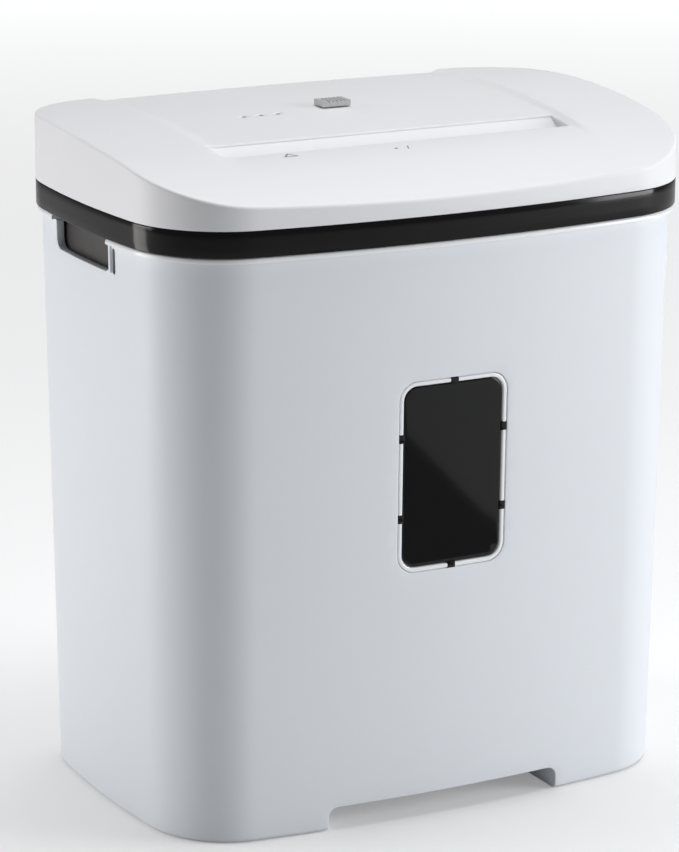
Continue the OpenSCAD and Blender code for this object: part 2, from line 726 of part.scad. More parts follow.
module discs(y, half, dir) {
    for (k = [0:disc_count - 1]) along_x(disc_x(k, half), y, axis_z)
        linear_extrude(height = disc_w)
            if (dir > 0) disc_2d(k * 17);
            else mirror([1, 0]) disc_2d(k * 17);
}

module cutter_discs_front() {
    color("#8d9096") discs(axis_a_y, false, 1);
}

module cutter_discs_rear() {
    color("#8d9096") discs(axis_b_y, true, -1);
}

module spacers(y, half) {
    w = disc_pitch - disc_w - 0.1;
    for (k = [0:disc_count - 2]) along_x(disc_x(k, half) + disc_w + 0.05, y, axis_z)
        linear_extrude(height = w) difference() {
            circle(r = spacer_r);
            hexagon(hex_af + 0.1);
        }
}

module spacers_front() {
    color("#6f7277") spacers(axis_a_y, false);
}

module spacers_rear() {
    color("#6f7277") spacers(axis_b_y, true);
}

// involute gear outline: stub teeth thinned by a slack so that they never touch
function inv(rb, t) = rb * [cos(t) + t * PI / 180 * sin(t), sin(t) - t * PI / 180 * cos(t)];
function flank_t(rb, r) = r <= rb ? 0 : sqrt(r * r / (rb * rb) - 1) * 180 / PI;
function polar(p) = atan2(p[1], p[0]);
function gear_pts(n, m) = let (
    r = n * m / 2, rb = r * cos(pressure), ra = r + addendum * m, rr = r - dedendum * m,
    at_pitch = polar(inv(rb, flank_t(rb, r))),
    half = 90 / n - tooth_slack / r * 90 / PI,
    start = max(rr, rb),
    flank = [for (q = [0:3]) let (p = inv(rb, flank_t(rb, start + (ra - start) * q / 3)))
        [norm(p), polar(p) - at_pitch - half]]
) [for (k = [0:n - 1]) let (a = k * 360 / n) each concat(
        [rr * [cos(a + flank[0][1] - (rb > rr ? 0.5 : 0)), sin(a + flank[0][1] - (rb > rr ? 0.5 : 0))]],
        [for (f = flank) f[0] * [cos(a + f[1]), sin(a + f[1])]],
        [for (q = [3:-1:0]) let (f = flank[q]) f[0] * [cos(a - f[1]), sin(a - f[1])]],
        [rr * [cos(a - flank[0][1] + (rb > rr ? 0.5 : 0)), sin(a - flank[0][1] + (rb > rr ? 0.5 : 0))]]
    )];

// turn of gear j that puts its gap on a tooth of gear i; i has ni teeth turned by ti
function mesh_turn(ci, ni, ti, cj, nj) = let (a = atan2(cj[1] - ci[1], cj[0] - ci[0]))
    a + 180 - (0.5 - ni * (a - ti) / 360) * 360 / nj;

module gear(x, c, n, m, turn, w, bore) {
    along_x(x, c[0], c[1]) rotate([0, 0, turn]) linear_extrude(height = w) difference() {
        polygon(gear_pts(n, m));
        circle(r = bore);
    }
}

sync_turn = mesh_turn([axis_a_y, axis_z], sync_teeth, 0, axis_b, sync_teeth);
drive_turn = 0;
second_turn_small = mesh_turn(axis_b, drive_teeth, drive_turn, second_c, second_small_teeth);
second_turn_big = 0;
first_turn_small = mesh_turn(second_c, second_big_teeth, second_turn_big, first_c, first_small_teeth);
first_turn_big = 0;
motor_turn = mesh_turn(first_c, first_big_teeth, first_turn_big, motor_c, motor_teeth);

module sync_gear_front() {
    color("#7f8388") gear(sync_x - sync_w, [axis_a_y, axis_z], sync_teeth, sync_module, 0, sync_w, journal_r + seat_gap);
}

module sync_gear_rear() {
    color("#7f8388") gear(sync_x - sync_w, axis_b, sync_teeth, sync_module, sync_turn, sync_w, journal_r + seat_gap);
}

module drive_gear() {
    color("#7f8388") gear(slow_x, axis_b, drive_teeth, slow_module, drive_turn, slow_w, journal_r + seat_gap);
}

module clip(x, y) {
    difference() {
        rod_x(x, x + 1, y, axis_z, journal_r + 2.5);
        rod_x(x - 1, x + 2, y, axis_z, journal_r + seat_gap);
        along_x(x - 1, y, axis_z) linear_extrude(height = 3) translate([0, -2]) square([20, 4]);
    }
}

module shaft_clips_front() {
    color("#303236") {
        clip(sync_x - sync_w - 1.1, axis_a_y);
        clip(plate_out + 1.2, axis_a_y);
    }
}

module shaft_clips_rear() {
    color("#303236") {
        clip(sync_x - sync_w - 1.1, axis_b_y);
        clip(slow_x - 1.1, axis_b_y);
    }
}

// compound gear: big wheel, small wheel and a hub, one moulding
module compound(c, big_n, big_m, big_x, big_w, big_t, small_n, small_m, small_x, small_w, small_t, hub_r, x0, x1) {
    difference() {
        union() {
            gear(big_x, c, big_n, big_m, big_t, big_w, gear_pin_r + 1);
            gear(small_x, c, small_n, small_m, small_t, small_w, gear_pin_r + 1);
            rod_x(x0, x1, c[0], c[1], hub_r);
        }
        rod_x(x0 - 1, x1 + 1, c[0], c[1], gear_pin_r + run_gap);
    }
}

module gear_first() {
    color("#e8e2cc") compound(first_c, first_big_teeth, fast_module, fast_x, fast_w, first_turn_big,
        first_small_teeth, middle_module, fast_x + fast_w - 0.5, middle_w + 1.1, first_turn_small, 6.4,
        fast_x - 1.5, fast_x + fast_w);
}

module gear_second() {
    color("#e8e2cc") compound(second_c, second_big_teeth, middle_module, middle_x, middle_w, second_turn_big,
        second_small_teeth, slow_module, middle_x + middle_w - 0.5, slow_w + 1.1, second_turn_small, 6.4,
        fast_x - 1.5, middle_x + middle_w);
}

module gear_pins() {
    color("#c3c6ca") for (c = [first_c, second_c]) rod_x(plate_x, bridge_x + bridge_t, c[0], c[1], gear_pin_r);
}

module gear_bridge() {
    color("#aeb2b6") difference() {
        union() {
            along_x(bridge_x) linear_extrude(height = bridge_t) hull() {
                for (c = concat(bridge_spots, [first_c, second_c])) translate(c) circle(r = 7, $fn = 32);
            }
            for (c = bridge_spots) rod_x(plate_out + seat_gap, bridge_x + 0.5, c[0], c[1], 3.4);
        }
        for (c = [first_c, second_c]) rod_x(plate_x, bridge_x + 10, c[0], c[1], gear_pin_r + seat_gap);
        for (c = bridge_spots) rod_x(plate_x, bridge_x + 10, c[0], c[1], 1.5 + seat_gap);
    }
}

module bridge_screws() {
    color("#c9ccd0") for (c = bridge_spots) {
        rod_x(plate_x + seat_gap, bridge_x + bridge_t + 0.5, c[0], c[1], 1.5);
        rod_x(bridge_x + bridge_t + seat_gap, bridge_x + bridge_t + 2.2, c[0], c[1], 3);
    }
}

motor_x1 = plate_x - 8;
motor_x0 = motor_x1 - motor_len;
bearing_r = 4.5;

module motor_can() {
    color("#8b9096") difference() {
        rod_x(motor_x0, motor_x1, motor_c[0], motor_c[1], motor_r);
        rod_x(motor_x0 - 1, motor_x1 + 1, motor_c[0], motor_c[1], motor_r - 1.6);
        for (a = [45:90:315]) along_x(motor_x0 + 5, motor_c[0], motor_c[1]) rotate([0, 0, a])
            translate([motor_r - 5, -6, 0]) cube([10, 12, 9]);
    }
}

module motor_end_bells() {
    color("#5a5d62") difference() {
        union() {
            rod_x(motor_x1 + seat_gap, motor_x1 + 2, motor_c[0], motor_c[1], motor_r);
            rod_x(motor_x1 + 1, plate_x - seat_gap, motor_c[0], motor_c[1], 26);
            rod_x(motor_x0 - 3, motor_x0 - seat_gap, motor_c[0], motor_c[1], motor_r);
            rod_x(motor_x0 - 9, motor_x0 - 1, motor_c[0], motor_c[1], 10);
        }
        rod_x(motor_x0 - 20, plate_x + 10, motor_c[0], motor_c[1], motor_shaft_r + run_gap);
        for (a = [-1, 1]) rod_x(plate_x - 7, plate_x + 1, motor_c[0] + a * 20, motor_c[1], 2.05);
        for (a = [0:60:300]) along_x(motor_x0 - 4, motor_c[0], motor_c[1]) rotate([0, 0, a + 30])
            translate([20, 0, 0]) cylinder(h = 6, r = 4);
        for (a = [0:60:300]) along_x(motor_x1 - 1, motor_c[0], motor_c[1]) rotate([0, 0, a + 30])
            translate([13, -2.5, 0]) cube([9, 5, 30]);
    }
}

stator_x0 = motor_x0 + 20;
stator_x1 = motor_x1 - 18;
armature_r = 18.5;

module motor_stator() {
    color("#6b4a32") difference() {
        rod_x(stator_x0, stator_x1, motor_c[0], motor_c[1], motor_r - 1.6 - seat_gap);
        rod_x(stator_x0 - 1, stator_x1 + 1, motor_c[0], motor_c[1], armature_r + 0.5);
        for (a = [0, 180]) along_x(stator_x0 - 1, motor_c[0], motor_c[1]) rotate([0, 0, a])
            translate([armature_r + 3, -7, 0]) cube([4, 14, 60]);
    }
}

comm_x0 = motor_x0 + 5;
comm_r = 11;

module motor_brushes() {
    color("#3a3a3c") for (s = [-1, 1]) translate([comm_x0 + 2, motor_c[0] + (s > 0 ? comm_r + 0.3 : -comm_r - 0.3 - 14), motor_c[1] - 3])
        cube([7, 14, 6]);
}

module motor_screws() {
    color("#c9ccd0") for (a = [-1, 1]) difference() {
        union() {
            rod_x(plate_x - 6, plate_out + 0.5, motor_c[0] + a * 20, motor_c[1], 2);
            rod_x(plate_out + seat_gap, plate_out + 2, motor_c[0] + a * 20, motor_c[1], 3.4);
        }
        along_x(plate_out + 1.2, motor_c[0] + a * 20, motor_c[1]) linear_extrude(height = 2)
            square([5, 0.9], center = true);
    }
}

module motor_shaft() {
    color("#c3c6ca") rod_x(motor_x0 - 8, fast_x + fast_w + 1, motor_c[0], motor_c[1], motor_shaft_r);
}

module ring_x(x0, x1, r, bore) {
    difference() {
        rod_x(x0, x1, motor_c[0], motor_c[1], r);
        rod_x(x0 - 1, x1 + 1, motor_c[0], motor_c[1], bore);
    }
}

module motor_armature() {
    color("#7a4f35") difference() {
        ring_x(stator_x0 + 1, stator_x1 - 1, armature_r, motor_shaft_r + seat_gap);
        for (k = [0:11]) along_x(stator_x0, motor_c[0], motor_c[1]) rotate([0, 0, k * 30])
            translate([armature_r - 4, -1, 0]) cube([6, 2, 60]);
    }
}

module motor_commutator() {
    color("#b87333") ring_x(comm_x0, comm_x0 + 11, comm_r, motor_shaft_r + seat_gap);
}

module motor_fan() {
    fan_x = stator_x1 + 4;
    color("#2e2f33") difference() {
        union() {
            rod_x(fan_x, fan_x + 9, motor_c[0], motor_c[1], 7);
            rod_x(fan_x, fan_x + 1.5, motor_c[0], motor_c[1], 26);
            for (k = [0:7]) along_x(fan_x + 1, motor_c[0], motor_c[1]) rotate([0, 0, k * 45])
                translate([6, -0.75, 0]) cube([19, 1.5, 8]);
        }
        rod_x(fan_x - 1, fan_x + 12, motor_c[0], motor_c[1], motor_shaft_r + seat_gap);
    }
}

module motor_pinion() {
    color("#d8c27a") gear(fast_x, motor_c, motor_teeth, fast_module, motor_turn, fast_w, motor_shaft_r + seat_gap);
}

module thermal_cutout() {
    color("#22313f") translate([motor_x0 + 30, motor_c[0] - 5, motor_c[1] + motor_r + seat_gap]) cube([18, 10, 4]);
}

module power_board() {
    color("#2f6b3c") difference() {
        translate([-111, 7, power_z]) cube([108, 74, board_t]);
        for (p = board_spots) translate([p[0], p[1], power_z - 1]) cylinder(h = 5, r = 1.6);
    }
}

power_top = power_z + board_t + seat_gap;

module power_relays() {
    color("#2b4a7a") for (x = [-92, -68]) translate([x, 24, power_top]) cube([18, 15, 15]);
}

module power_capacitor() {
    color("#c7a23a") translate([-40, 22, power_top]) cube([26, 10, 17]);
}

term_x = -96;
term_y = 60;

module terminal_block() {
    color("#e6e6e2") difference() {
        translate([term_x, term_y, power_top]) cube([24, 11, 12]);
        for (k = [0:1]) {
            translate([term_x + 7 + k * 10, term_y + 5.5, power_top + 6]) cylinder(h = 10, r = 2.2);
            along_y(term_y + 5.5, term_x + 7 + k * 10, power_top + 4) cylinder(h = 10, r = 1.6);
        }
    }
}

// a wire of round section through the points p
module wire(p, r) {
    for (k = [0:len(p) - 2]) hull() {
        translate(p[k]) sphere(r = r, $fn = 10);
        translate(p[k + 1]) sphere(r = r, $fn = 10);
    }
}

module supply_leads() {
    color("#6b4a2e") for (k = [0:1]) let (x = term_x + 7 + k * 10)
        wire([[x, term_y + 9, power_top + 4], [x, term_y + 14, power_top + 4], [x, term_y + 27, power_top + 12],
            [gland_x - 2 + k * 4, gland_y - 24, gland_z - 10], [gland_x - 1.7 + k * 3.4, gland_y - 17, gland_z]], 1.3);
}

module motor_leads() {
    color("#a33a34") for (k = [0:1]) wire([[-8 + k * 5, 44, power_top + 1.5], [-4 + k * 5, 46, power_top + 20],
        [motor_x0 - 14, motor_c[0] + (k ? 20 : -20), motor_c[1] - 8], [motor_x0 - 4.6, motor_c[0] + (k ? 20 : -20), motor_c[1]]], 1.3);
}

module control_board() {
    color("#2f6b3c") difference() {
        translate([-74, 11, board_z]) cube([96, 34, board_t - seat_gap]);
        for (p = board_posts) translate([p[0], p[1], board_z - 1]) cylinder(h = 5, r = 1.6);
    }
}

module indicator_lamps() {
    color("#f2f2ee") for (k = [0:2]) translate([lamp_x + k * lamp_pitch, lamp_y, board_z + board_t]) {
        cylinder(h = 3, r = 1.5);
        translate([0, 0, 3]) sphere(r = 1.5);
    }
}

module light_pipe() {
    pipe_z = board_z + board_t + 5.2;
    color("#f4f4f0") union() {
        translate([lamp_x - 4, lamp_y - 2.5, pipe_z]) cube([2 * lamp_pitch + 8, 5, 2.2]);
        for (k = [0:2]) translate([lamp_x + k * lamp_pitch, lamp_y, pipe_z]) cylinder(h = main_z(lamp_y) - dish_depth - pipe_z, r = lamp_r);
    }
}

switch_h = pan_z - pan_t - board_z - board_t - 1.4;

module mode_switch() {
    color("#3c3d41") difference() {
        translate([-15, knob_y - 7, board_z + board_t]) cube([30, 14, switch_h - seat_gap]);
        translate([-knob_stroke - 3, knob_y - 2.1, board_z + board_t + 4]) cube([2 * knob_stroke + 6, 4.2, 30]);
    }
}

module mode_knob() {
    color("#1d1c1f") union() {
        difference() {
            translate([-knob_w / 2, knob_y - 6, pan_z + body_gap + 0.3]) cube([knob_w, 12, 3.4]);
            for (k = [-2:2]) translate([k * 2.6 - 0.5, knob_y - 7, pan_z + 3.3]) cube([1, 14, 1]);
        }
        translate([-2.4, knob_y - 1.4, board_z + board_t + 4.4]) cube([4.8, 2.8, pan_z + 1 - board_z - board_t - 4.4]);
    }
}

module sensor_flag() {
    color("#17171a") difference() {
        union() {
            rod_x(-2, 2, flag_y, flag_z, flag_hub_r);
            translate([-2, flag_y - 12.5, flag_z - 1.5]) cube([4, 12.5, 3]);
            translate([-0.6, flag_y, flag_z - 2]) cube([1.2, 11, 4]);
        }
        rod_x(-3, 3, flag_y, flag_z, pin_r + run_gap);
    }
}

module sensor_pin() {
    color("#b9bcc0") rod_x(-7.4, 7.4, flag_y, flag_z, pin_r);
}

module sensor_block() {
    color("#2a2a2e") difference() {
        union() {
            translate([-7, flag_y + 4.6, flag_z - 12]) cube([14, 9, 3]);
            for (s = [-1, 1]) translate([s * 4 - 1.75, flag_y + 5.5, flag_z - 9.5]) cube([3.5, 6, 15]);
            translate([-7, throat_y1 + guide_wall + seat_gap, flag_z - 12]) cube([14, 12, 3]);
        }
        translate([-1.4, flag_y, flag_z - 8.8]) cube([2.8, 14, 30]);
    }
}

module interlock_plunger() {
    color("#c8352c") union() {
        translate([plunger_x, plunger_y, plunger_tip_z]) cylinder(h = collar_z - plunger_tip_z + 1, r = plunger_r);
        translate([plunger_x, plunger_y, collar_z]) cylinder(h = 2, r = plunger_r + 1);
        translate([plunger_x, plunger_y, collar_z]) cylinder(h = switch_z - body_gap - collar_z, r = 1.3);
    }
}

spring_z0 = collar_z + 2 + 0.5;
spring_h = switch_z - 0.5 - spring_z0;
spring_turns = 5;
spring_r = 2.6;
wire_r = 0.35;

module interlock_spring() {
    rings = spring_turns * 12;
    color("#9fa3a7") translate([plunger_x, plunger_y, spring_z0]) polyhedron(
        points = [for (k = [0:rings], s = [0:7]) let (a = k * 360 / 12, b = s * 45, q = spring_r + wire_r * cos(b))
            [q * cos(a), q * sin(a), spring_h * k / rings + wire_r * sin(b)]],
        faces = concat(
            [for (k = [0:rings - 1], s = [0:7]) [k * 8 + s, k * 8 + (s + 1) % 8, (k + 1) * 8 + (s + 1) % 8, (k + 1) * 8 + s]],
            [[for (s = [7:-1:0]) s], [for (s = [0:7]) rings * 8 + s]]
        )
    );
}

module interlock_switch() {
    color("#3a3b40") difference() {
        translate([plunger_x - 3.2, plunger_y - 12, switch_z]) cube([6.4, 24, 10]);
        for (s = [-1, 1]) translate([plunger_x, plunger_y + s * 9.5, switch_z - 1]) cylinder(h = 12, r = 1.3);
    }
}

module casing_screws() {
    color("#c9ccd0") for (p = screw_spots) translate([p[0], p[1], step_z + 18 - 2.6]) difference() {
        union() {
            cylinder(h = 2.5, r = 3.3);
            translate([0, 0, 2]) cylinder(h = cover_z + 6 - step_z - 18 + 0.5, r = screw_r);
        }
        translate([-2.2, -0.5, -1]) cube([4.4, 1, 2]);
        translate([-0.5, -2.2, -1]) cube([1, 4.4, 2]);
    }
}

// a small pan-head screw: head on top, shank of length l down along -Z
module small_screw(l, r) {
    cylinder(h = 1.6, r = 2.4);
    translate([0, 0, -l]) cylinder(h = l + 0.5, r = r);
}

module small_screws() {
    color("#c9ccd0") {
        for (p = board_spots) translate([p[0], p[1], power_z + board_t + seat_gap]) small_screw(6, 1.2);
        for (p = board_posts) translate([p[0], p[1], board_z - seat_gap]) mirror([0, 0, 1]) small_screw(6, 1.2);
        for (x = foot_x, y = [-24, 62]) translate([x, y, box_floor_z + 4 + plate_t + 2 * seat_gap]) small_screw(6, 1.2);
        for (s = [-1, 1]) translate([plunger_x, plunger_y + s * 9.5, switch_z + 10 + seat_gap]) small_screw(16, 1);
        for (s = [-1, 1]) translate([s * (plate_out + seat_gap), -slot_y - 4.8, guide_z0 + 11]) rotate([0, s * 90, 0])
            small_screw(8, 1.2);
    }
}

bin();
window_pane();
trim_band();
head_cover();
lower_casing();
cord_gland();
throat_guide();
side_plate_left();
side_plate_right();
tie_rods();
tie_rod_nuts();
shaft_bushes();
comb_front();
comb_rear();
cutter_shaft_front();
cutter_discs_front();
spacers_front();
sync_gear_front();
cutter_shaft_rear();
cutter_discs_rear();
spacers_rear();
sync_gear_rear();
drive_gear();
shaft_clips_front();
shaft_clips_rear();
gear_first();
gear_second();
gear_pins();
gear_bridge();
bridge_screws();
motor_can();
motor_end_bells();
motor_stator();
motor_brushes();
motor_screws();
motor_shaft();
motor_armature();
motor_commutator();
motor_fan();
motor_pinion();
thermal_cutout();
power_board();
power_relays();
power_capacitor();
terminal_block();
supply_leads();
motor_leads();
control_board();
indicator_lamps();
light_pipe();
mode_switch();
mode_knob();
sensor_flag();
sensor_pin();
sensor_block();
interlock_plunger();
interlock_spring();
interlock_switch();
casing_screws();
small_screws();
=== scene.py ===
import math

import bmesh
import bpy
import numpy as np
from mathutils import Matrix, Vector
from mathutils.geometry import delaunay_2d_cdt


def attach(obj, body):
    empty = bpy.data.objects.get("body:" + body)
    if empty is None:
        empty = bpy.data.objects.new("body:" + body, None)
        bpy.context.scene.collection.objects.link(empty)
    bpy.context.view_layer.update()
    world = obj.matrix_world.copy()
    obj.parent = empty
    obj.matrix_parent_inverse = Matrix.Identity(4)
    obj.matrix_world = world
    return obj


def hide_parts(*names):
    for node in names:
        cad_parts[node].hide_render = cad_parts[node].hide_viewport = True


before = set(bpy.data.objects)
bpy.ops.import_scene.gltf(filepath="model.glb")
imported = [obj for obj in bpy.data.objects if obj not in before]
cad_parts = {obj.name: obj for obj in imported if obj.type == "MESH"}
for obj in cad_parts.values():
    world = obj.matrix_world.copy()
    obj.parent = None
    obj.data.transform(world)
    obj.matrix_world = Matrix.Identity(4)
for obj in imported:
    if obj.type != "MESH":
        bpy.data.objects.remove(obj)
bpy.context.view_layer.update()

# ---------------------------------------------------------------------------
# Camera: a long lens to the left of the front and above the head, far enough
# away that upright edges stay nearly parallel, rolled by a fifth of a degree.
back = Vector((-0.45525, -0.85215, 0.25803)).normalized()
across = Vector((0, 0, 1)).cross(back).normalized()
upward = back.cross(across)
lens = bpy.data.cameras.new("studio_camera")
lens.lens = 155.64
lens.sensor_width = 36
lens.clip_start, lens.clip_end = 0.05, 60
camera = bpy.data.objects.new("studio_camera", lens)
roll = Matrix.Rotation(math.radians(0.21), 4, "Z")
placed = Matrix((across, upward, back)).transposed().to_4x4() @ roll
placed.translation = Vector((-1.0022, -1.8564, 0.7680))
camera.matrix_world = placed
bpy.context.scene.collection.objects.link(camera)
bpy.context.scene.camera = camera

# ---------------------------------------------------------------------------
# The waste bin: one injection moulding in cool white polypropylene. Its wall
# leans in toward the floor, a lip runs round the rim, and each side has a
# finger cut-out with a thicker wall, a rib and a groove beside it.
HALF_W, HALF_D, CORNER_R = 176.0, 123.0, 60.0
FRONT_BOW, SIDE_BOW = 17, 12  # how far each side swells out at its middle
FRONT_R = (HALF_W ** 2 + FRONT_BOW ** 2) / (2 * FRONT_BOW)
SIDE_R = (HALF_D ** 2 + SIDE_BOW ** 2) / (2 * SIDE_BOW)
front_c = np.array([0, FRONT_R - HALF_D])
side_c = np.array([HALF_W - SIDE_R, 0])
span = np.linalg.norm(front_c - side_c)
along = ((FRONT_R - CORNER_R) ** 2 - (SIDE_R - CORNER_R) ** 2 + span ** 2) / (2 * span)
aside = math.sqrt((FRONT_R - CORNER_R) ** 2 - along ** 2)
way = (side_c - front_c) / span
corner_c = front_c + along * way + aside * np.array([way[1], -way[0]])
if corner_c[1] > 0:
    corner_c = front_c + along * way - aside * np.array([way[1], -way[0]])
FRONT_END = math.atan2(*(corner_c - front_c)[::-1])
SIDE_END = math.atan2(*(corner_c - side_c)[::-1])
FRONT_LEN = FRONT_R * (FRONT_END + math.pi / 2)
CORNER_LEN = CORNER_R * (SIDE_END - FRONT_END)
QUARTER = FRONT_LEN + CORNER_LEN - SIDE_R * SIDE_END
ROUND = 4 * QUARTER

# heights up the wall, the wall's inset at the foot and what the taper takes off it, and thicknesses
FOOT_R, LIP_V, RIM_V = 3.0, 337.6, 337.0
FOOT_INSET, TAPER = 9.1, 5.6
WALL_T, PAD_T = 2.5, 4.8
GRIP_FLOOR, CHANNEL_TOP = 321.0, 14.0


def outline(u, inset):
    """Plan outline of the shredder in mm. u is the length walked round it from the middle of the front toward
    the right; every quarter is a wide front arc, a corner arc and a side arc that touch, and the point is the
    arc's centre plus its radius less the inset along the arc's direction."""
    u, inset = np.broadcast_arrays(np.mod(u, ROUND), inset)
    quarter = np.minimum((u / QUARTER).astype(int), 3)
    w = np.where(quarter % 2 == 0, u - quarter * QUARTER, (quarter + 1) * QUARTER - u)
    turn = np.interp(w, [0, FRONT_LEN, FRONT_LEN + CORNER_LEN, QUARTER], [-math.pi / 2, FRONT_END, SIDE_END, 0])
    arc = np.where(w < FRONT_LEN, 0, np.where(w < FRONT_LEN + CORNER_LEN, 1, 2))
    centre = np.array([front_c, corner_c, side_c])[arc]
    reach = np.array([FRONT_R, CORNER_R, SIDE_R])[arc] - inset
    x = centre[..., 0] + reach * np.cos(turn)
    y = centre[..., 1] + reach * np.sin(turn)
    return np.where(quarter >= 2, -x, x), np.where((quarter == 1) | (quarter == 2), -y, y)


def wall(u, v, depth=0.0):
    """Point of the bin's wall: u round the outline, v up the wall, depth in from its face. Above the foot the
    height is v and the inset shrinks evenly with it; below, v goes on round a quarter circle under the foot."""
    u, v, depth = np.broadcast_arrays(np.asarray(u, float), v, depth)
    turn = np.clip((FOOT_R - v) / FOOT_R, 0, math.pi / 2)
    lean = FOOT_INSET - TAPER * np.minimum(np.maximum(v, FOOT_R), LIP_V) / LIP_V
    x, y = outline(u, lean + FOOT_R - (FOOT_R - depth) * np.cos(turn))
    z = np.maximum(v, FOOT_R) - (FOOT_R - depth) * np.sin(turn)
    return np.stack([x, y, z], -1)


def side_u(y):
    """Length round the outline to the right side's point at y."""
    return QUARTER + SIDE_R * np.arcsin(np.asarray(y) / SIDE_R)


def closed_loop(w, h, r, grow, centre=(0, 0), step=5.0):
    """Rounded rectangle, anticlockwise, grown by the given amount: four arcs about fixed centres joined by
    evenly divided straights, so that loops with different growth match point for point."""
    across_n, up_n = max(1, round((w - 2 * r) / step)), max(1, round((h - 2 * r) / step))
    rows = []
    for k, (sx, sy, n) in enumerate([(1, -1, up_n), (1, 1, across_n), (-1, 1, up_n), (-1, -1, across_n)]):
        a = np.radians(-90 + 90 * k + np.linspace(0, 90, 7))
        middle = np.array([sx * (w / 2 - r), sy * (h / 2 - r)])
        arc = middle + (r + grow) * np.stack([np.cos(a), np.sin(a)], -1)
        ahead = np.array([[0, 1], [-1, 0], [0, -1], [1, 0]][k]) * ((h if k % 2 == 0 else w) - 2 * r)
        rows += [arc, arc[-1] + ahead * (np.arange(1, n) / n)[:, None]]
    return np.concatenate(rows) + centre


def notch(w, edge, end, r, grow, centre, step=5.0):
    """Open U from the edge at one side, round the end, back to the edge: a straight, an arc, a straight, an arc
    and a straight, grown outward. It runs from left to right, whether it opens up or down."""
    s = 1 if edge > end else -1
    n, m = max(1, round(abs(edge - end) / step)), max(1, round((w - 2 * r) / step))
    a = np.radians(np.linspace(180, 270, 7))
    turn = np.stack([np.cos(a), s * np.sin(a)], -1)
    left = np.array([-(w / 2 - r), end + s * r]) + (r + grow) * turn
    right = np.array([w / 2 - r, end + s * r]) + (r + grow) * turn[::-1] * [-1, 1]
    down = np.stack([np.full(n, left[0, 0]), np.linspace(edge, left[0, 1], n + 1)[:-1]], -1)
    flat = left[-1] + (right[0] - left[-1]) * (np.arange(1, m) / m)[:, None]
    up = np.stack([np.full(n, right[-1, 0]), np.linspace(right[-1, 1], edge, n + 1)[1:]], -1)
    return np.concatenate([down, left, flat, right, up]) + [centre, 0]


def inside(points, loop):
    """True for points inside a closed loop: a ray to the right crosses it an odd number of times."""
    a, b = loop, np.roll(loop, -1, 0)
    hit = np.zeros(len(points), bool)
    for part in np.array_split(np.arange(len(points)), max(1, len(points) // 4000)):
        px, py = points[part, 0][:, None], points[part, 1][:, None]
        rise = (a[:, 1] > py) != (b[:, 1] > py)
        climb = np.where(b[:, 1] == a[:, 1], 1e-12, b[:, 1] - a[:, 1])
        at = a[:, 0] + (py - a[:, 1]) / climb * (b[:, 0] - a[:, 0])
        hit[part] = (rise & (px < at)).sum(1) % 2 == 1
    return hit


def trimmed(rim, holes, xs, ys, clear=1.2):
    """Fills a loop, less its holes, with triangles over a grid of points: the grid's points that stand clear of
    every edge, and the loops' own points, joined by a Delaunay net that keeps the loops' edges."""
    loops = [rim] + holes
    pts = np.stack(np.meshgrid(xs, ys), -1).reshape(-1, 2)
    keep = inside(pts, rim)
    for hole in holes:
        keep &= ~inside(pts, hole)
    pts = pts[keep]
    edge = np.concatenate(loops)
    near = np.concatenate([(((p[:, None] - edge) ** 2).sum(-1)).min(1) for p in np.array_split(pts, 40)])
    pts = pts[near > clear ** 2]
    sides, first = [], 0
    for loop in loops:
        n = np.arange(len(loop))
        sides += (np.stack([n, (n + 1) % len(loop)], -1) + first).tolist()
        first += len(loop)
    net = delaunay_2d_cdt([Vector(p) for p in np.concatenate([edge, pts])], sides, [], 0, 1e-6)
    flat = np.array([tuple(p) for p in net[0]])
    tris = np.array(net[2])
    middle = flat[tris].mean(1)
    keep = inside(middle, rim)
    for hole in holes:
        keep &= ~inside(middle, hole)
    return flat, tris[keep].tolist()


def sheet_grid(points, ring=False):
    """Quads between the rows of a grid of points; a ring joins each row's end to its start."""
    rows, cols = points.shape[:2]
    k, j = np.meshgrid(np.arange(rows - 1), np.arange(cols if ring else cols - 1), indexing="ij")
    k, j = k.ravel(), j.ravel()
    nxt = (j + 1) % cols
    quads = np.stack([k * cols + j, k * cols + nxt, (k + 1) * cols + nxt, (k + 1) * cols + j], -1)
    return points.reshape(-1, 3), quads.tolist()


def assemble(name, parts, body, nodes, open_skin=False):
    """Joins parts given in mm, each as points, faces and a place in the material list, into one mesh in metres.
    Points that meet are welded and faces turned outward, so that an open skin's highest face looks up. The piece
    rides on its body in place of its CAD node."""
    weld, sliver, crisp = 4e-6, 1e-7, math.radians(35)
    verts, faces, looks, first = [], [], [], 0
    for points, polys, *look in parts:
        verts.append(points)
        faces += [[i + first for i in poly] for poly in polys]
        looks += (look or [0]) * len(polys)
        first += len(points)
    mesh = bpy.data.meshes.new(name)
    mesh.from_pydata((np.concatenate(verts) / 1000).tolist(), [], faces)
    mesh.polygons.foreach_set("material_index", looks)
    shell = bmesh.new()
    shell.from_mesh(mesh)
    bmesh.ops.remove_doubles(shell, verts=shell.verts, dist=weld)
    bmesh.ops.dissolve_degenerate(shell, edges=shell.edges, dist=sliver)
    bmesh.ops.recalc_face_normals(shell, faces=shell.faces)
    if open_skin:
        shell.faces.ensure_lookup_table()
        top = max(shell.faces, key=lambda f: f.calc_center_median().z)
        if top.normal.z < 0:
            bmesh.ops.reverse_faces(shell, faces=shell.faces)
    shell.to_mesh(mesh)
    shell.free()
    piece = bpy.data.objects.new(name, mesh)
    bpy.context.scene.collection.objects.link(piece)
    mesh.shade_smooth()
    mesh.set_sharp_from_angle(angle=crisp)
    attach(piece, body)
    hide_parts(*nodes)
    return piece


